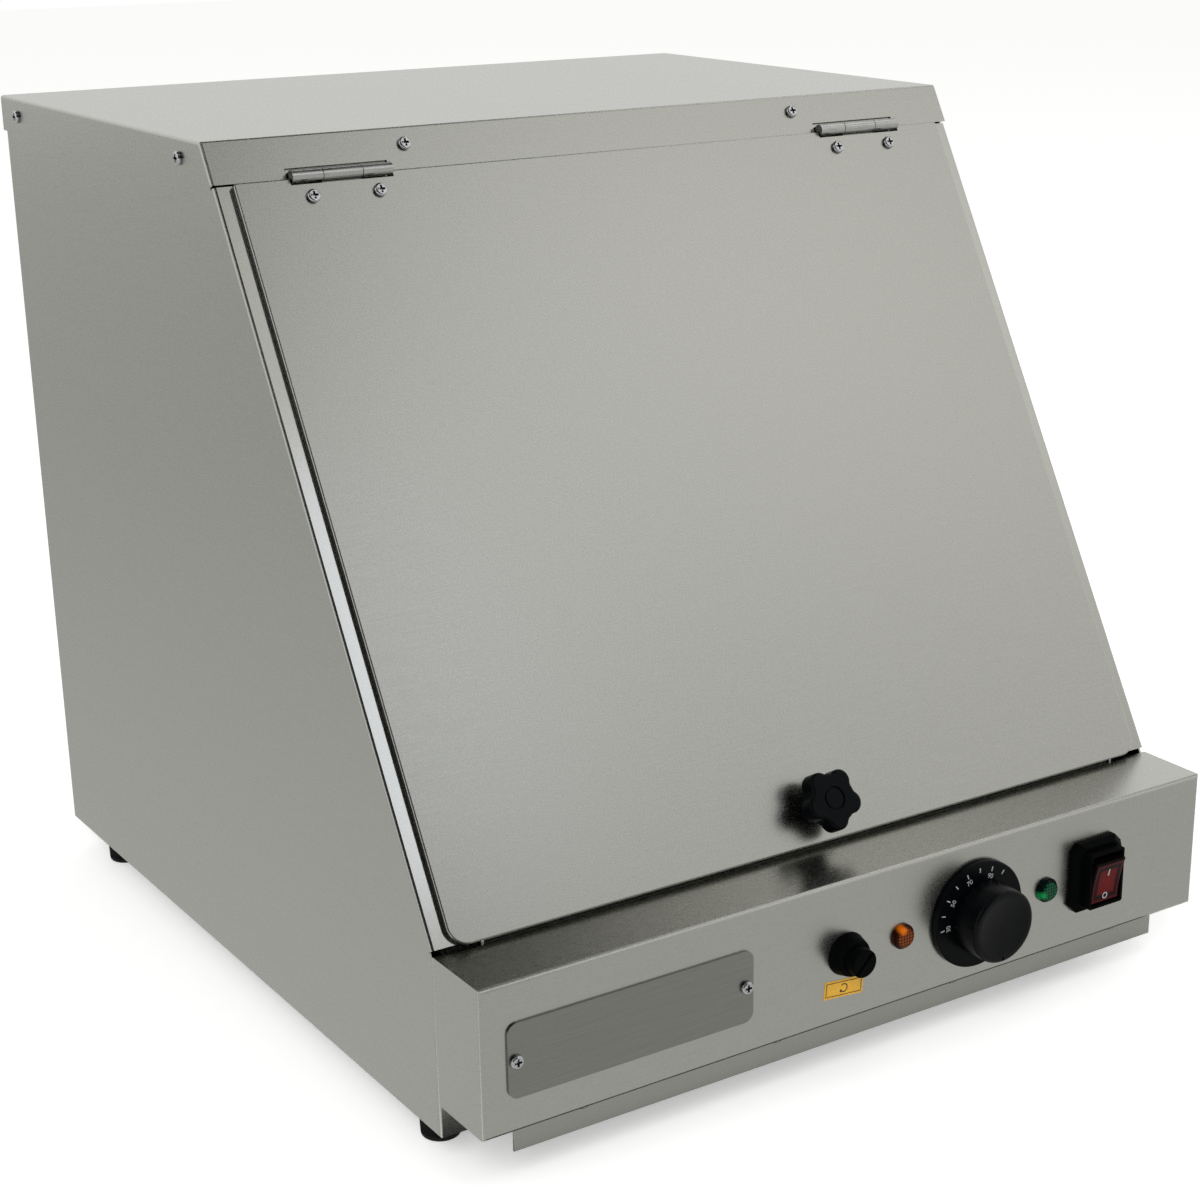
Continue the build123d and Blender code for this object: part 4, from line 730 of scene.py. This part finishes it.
def digits(word, height):
    """The outline of a short number as raised points and faces, centred, in mm."""
    curve = bpy.data.curves.new(word, "FONT")
    curve.body = word
    curve.align_x = "CENTER"
    curve.align_y = "CENTER"
    curve.size = height / numeral_share
    curve.extrude = film / 2
    curve.resolution_u = curve_steps
    shape = bpy.data.objects.new(word, curve)
    bpy.context.scene.collection.objects.link(shape)
    bpy.context.view_layer.update()
    shaped = shape.evaluated_get(bpy.context.evaluated_depsgraph_get())
    mesh = bpy.data.meshes.new_from_object(shaped)
    points = np.empty(len(mesh.vertices) * 3)
    mesh.vertices.foreach_get("co", points)
    points = points.reshape(-1, 3)
    points[:, 2] += film / 2
    points[:, :2] -= (points[:, :2].min(0) + points[:, :2].max(0)) / 2
    faces = [np.array([list(face.vertices)]) for face in mesh.polygons]
    bpy.data.objects.remove(shape)
    bpy.data.curves.remove(curve)
    bpy.data.meshes.remove(mesh)
    return points, faces


def turned(points, angle, shift):
    """Points turned about the surface's own axis and then moved."""
    points = np.array(points, float)
    x, y = points[:, 0].copy(), points[:, 1].copy()
    points[:, 0] = x * cos(angle) - y * sin(angle) + shift[0]
    points[:, 1] = x * sin(angle) + y * cos(angle) + shift[1]
    return points


# Dial scale: a tick every 19 degrees, and a number inside every other tick

dial_x = (dial_low.x + dial_high.x) / 2
dial_axes = ((dial_x, dial_low.y, control_z), (1, 0, 0), (0, 0, 1), (0, -1, 0))
tick_count = 8
tick_start, tick_step = radians(187.0), radians(19.0)
tick_inner, tick_outer, tick_half = 26.2, 29.0, 0.35
number_radius, number_height = 23.4, 3.0
first_number, number_step = 30, 20
scale_parts = []
for tick in range(tick_count):
    angle = tick_start - tick * tick_step
    ends = np.array([[tick_inner, 0.0], [tick_outer, 0.0]])
    points, faces = ribbon(ends - [0, tick_half], ends + [0, tick_half], False, film)
    scale_parts.append((turned(points, angle, (0, 0)), faces))
    if tick % 2 == 0:
        points, faces = digits(str(first_number + tick // 2 * number_step), number_height)
        centre = (number_radius * cos(angle), number_radius * sin(angle))
        scale_parts.append((turned(points, angle - pi / 2, centre), faces))
film_piece("dial_scale", scale_parts, dial_axes, white_ink, "dial")

# Marks on the rocker: a bar near its top and a ring near its foot, following the dished face

bar_height, ring_drop = 6.4, 9.4
bar_half_width, bar_half_height = 0.45, 2.3
ring_inner, ring_outer = 1.35, 2.0
bar_steps, ring_steps = 9, 40
dish_radius = (rocker_half_height**2 + rocker_dish**2) / (2 * rocker_dish)
rocker_axes = (tuple(rocker_pivot), rocker_across, rocker_up, rocker_out)


def on_dish(points):
    """Points raised to the rocker's face: the foot of a circle of the dish's radius."""
    points = np.array(points, float)
    sag = dish_radius - np.sqrt(dish_radius**2 - points[:, 1] ** 2)
    points[:, 2] += rocker_reach - rocker_dish + sag
    return points


bar_line = np.linspace(-bar_half_height, bar_half_height, bar_steps)[:, None] * [0.0, 1.0]
bar_line = bar_line + [0.0, bar_height]
bar_side = [bar_half_width, 0]
bar_points, bar_faces = ribbon(bar_line + bar_side, bar_line - bar_side, False, film)
round_angles = np.linspace(0, 2 * pi, ring_steps, endpoint=False)
circle = np.stack([np.cos(round_angles), np.sin(round_angles)], axis=1)
ring_centre = [0, -ring_drop]
ring_points, ring_faces = ribbon(
    circle * ring_inner + ring_centre,
    circle * ring_outer + ring_centre,
    True,
    film,
)
film_piece(
    "rocker_marks",
    [(on_dish(bar_points), bar_faces), (on_dish(ring_points), ring_faces)],
    rocker_axes,
    white_ink,
    "rocker",
)

# Print on the reset label: a thin frame and a round arrow

label_low, label_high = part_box("reset_label")
label_half_width, label_half_height = 13.5, 5.25
label_tilt = radians(-5.0)
frame_inset, frame_line = 1.1, 0.4
arrow_radius, arrow_half = 2.35, 0.32
arrow_from, arrow_to = radians(140.0), radians(-130.0)
head_half, head_length = 1.05, 1.7
tip_share = 0.04
sweep_steps = 30
label_middle = (label_low + label_high) / 2
label_axes = (
    (label_middle.x, label_low.y, label_middle.z),
    (cos(label_tilt), 0, sin(label_tilt)),
    (-sin(label_tilt), 0, cos(label_tilt)),
    (0, -1, 0),
)
corner_signs = np.array([[-1, -1], [1, -1], [1, 1], [-1, 1]])
frame_outer = corner_signs * [label_half_width - frame_inset, label_half_height - frame_inset]
frame_inner = corner_signs * [
    label_half_width - frame_inset - frame_line,
    label_half_height - frame_inset - frame_line,
]
sweep = np.linspace(arrow_from, arrow_to, sweep_steps)
sweep_line = np.stack([np.cos(sweep), np.sin(sweep)], axis=1)
tip = sweep_line[-1] * arrow_radius
ahead = np.array([sin(arrow_to), -cos(arrow_to)])
arrow_end = np.array([tip, tip + ahead * head_length])
arrow_side = sweep_line[-1] * head_half
head_inner = np.array([arrow_end[0] - arrow_side, arrow_end[1] - arrow_side * tip_share])
head_outer = np.array([arrow_end[0] + arrow_side, arrow_end[1] + arrow_side * tip_share])
arrow_outer = sweep_line * (arrow_radius + arrow_half)
arrow_inner = sweep_line * (arrow_radius - arrow_half)
film_piece(
    "label_print",
    [
        ribbon(frame_inner, frame_outer, True, film),
        ribbon(arrow_outer, arrow_inner, False, film),
        ribbon(head_outer, head_inner, False, film),
    ],
    label_axes,
    black_ink,
    "cabinet",
)
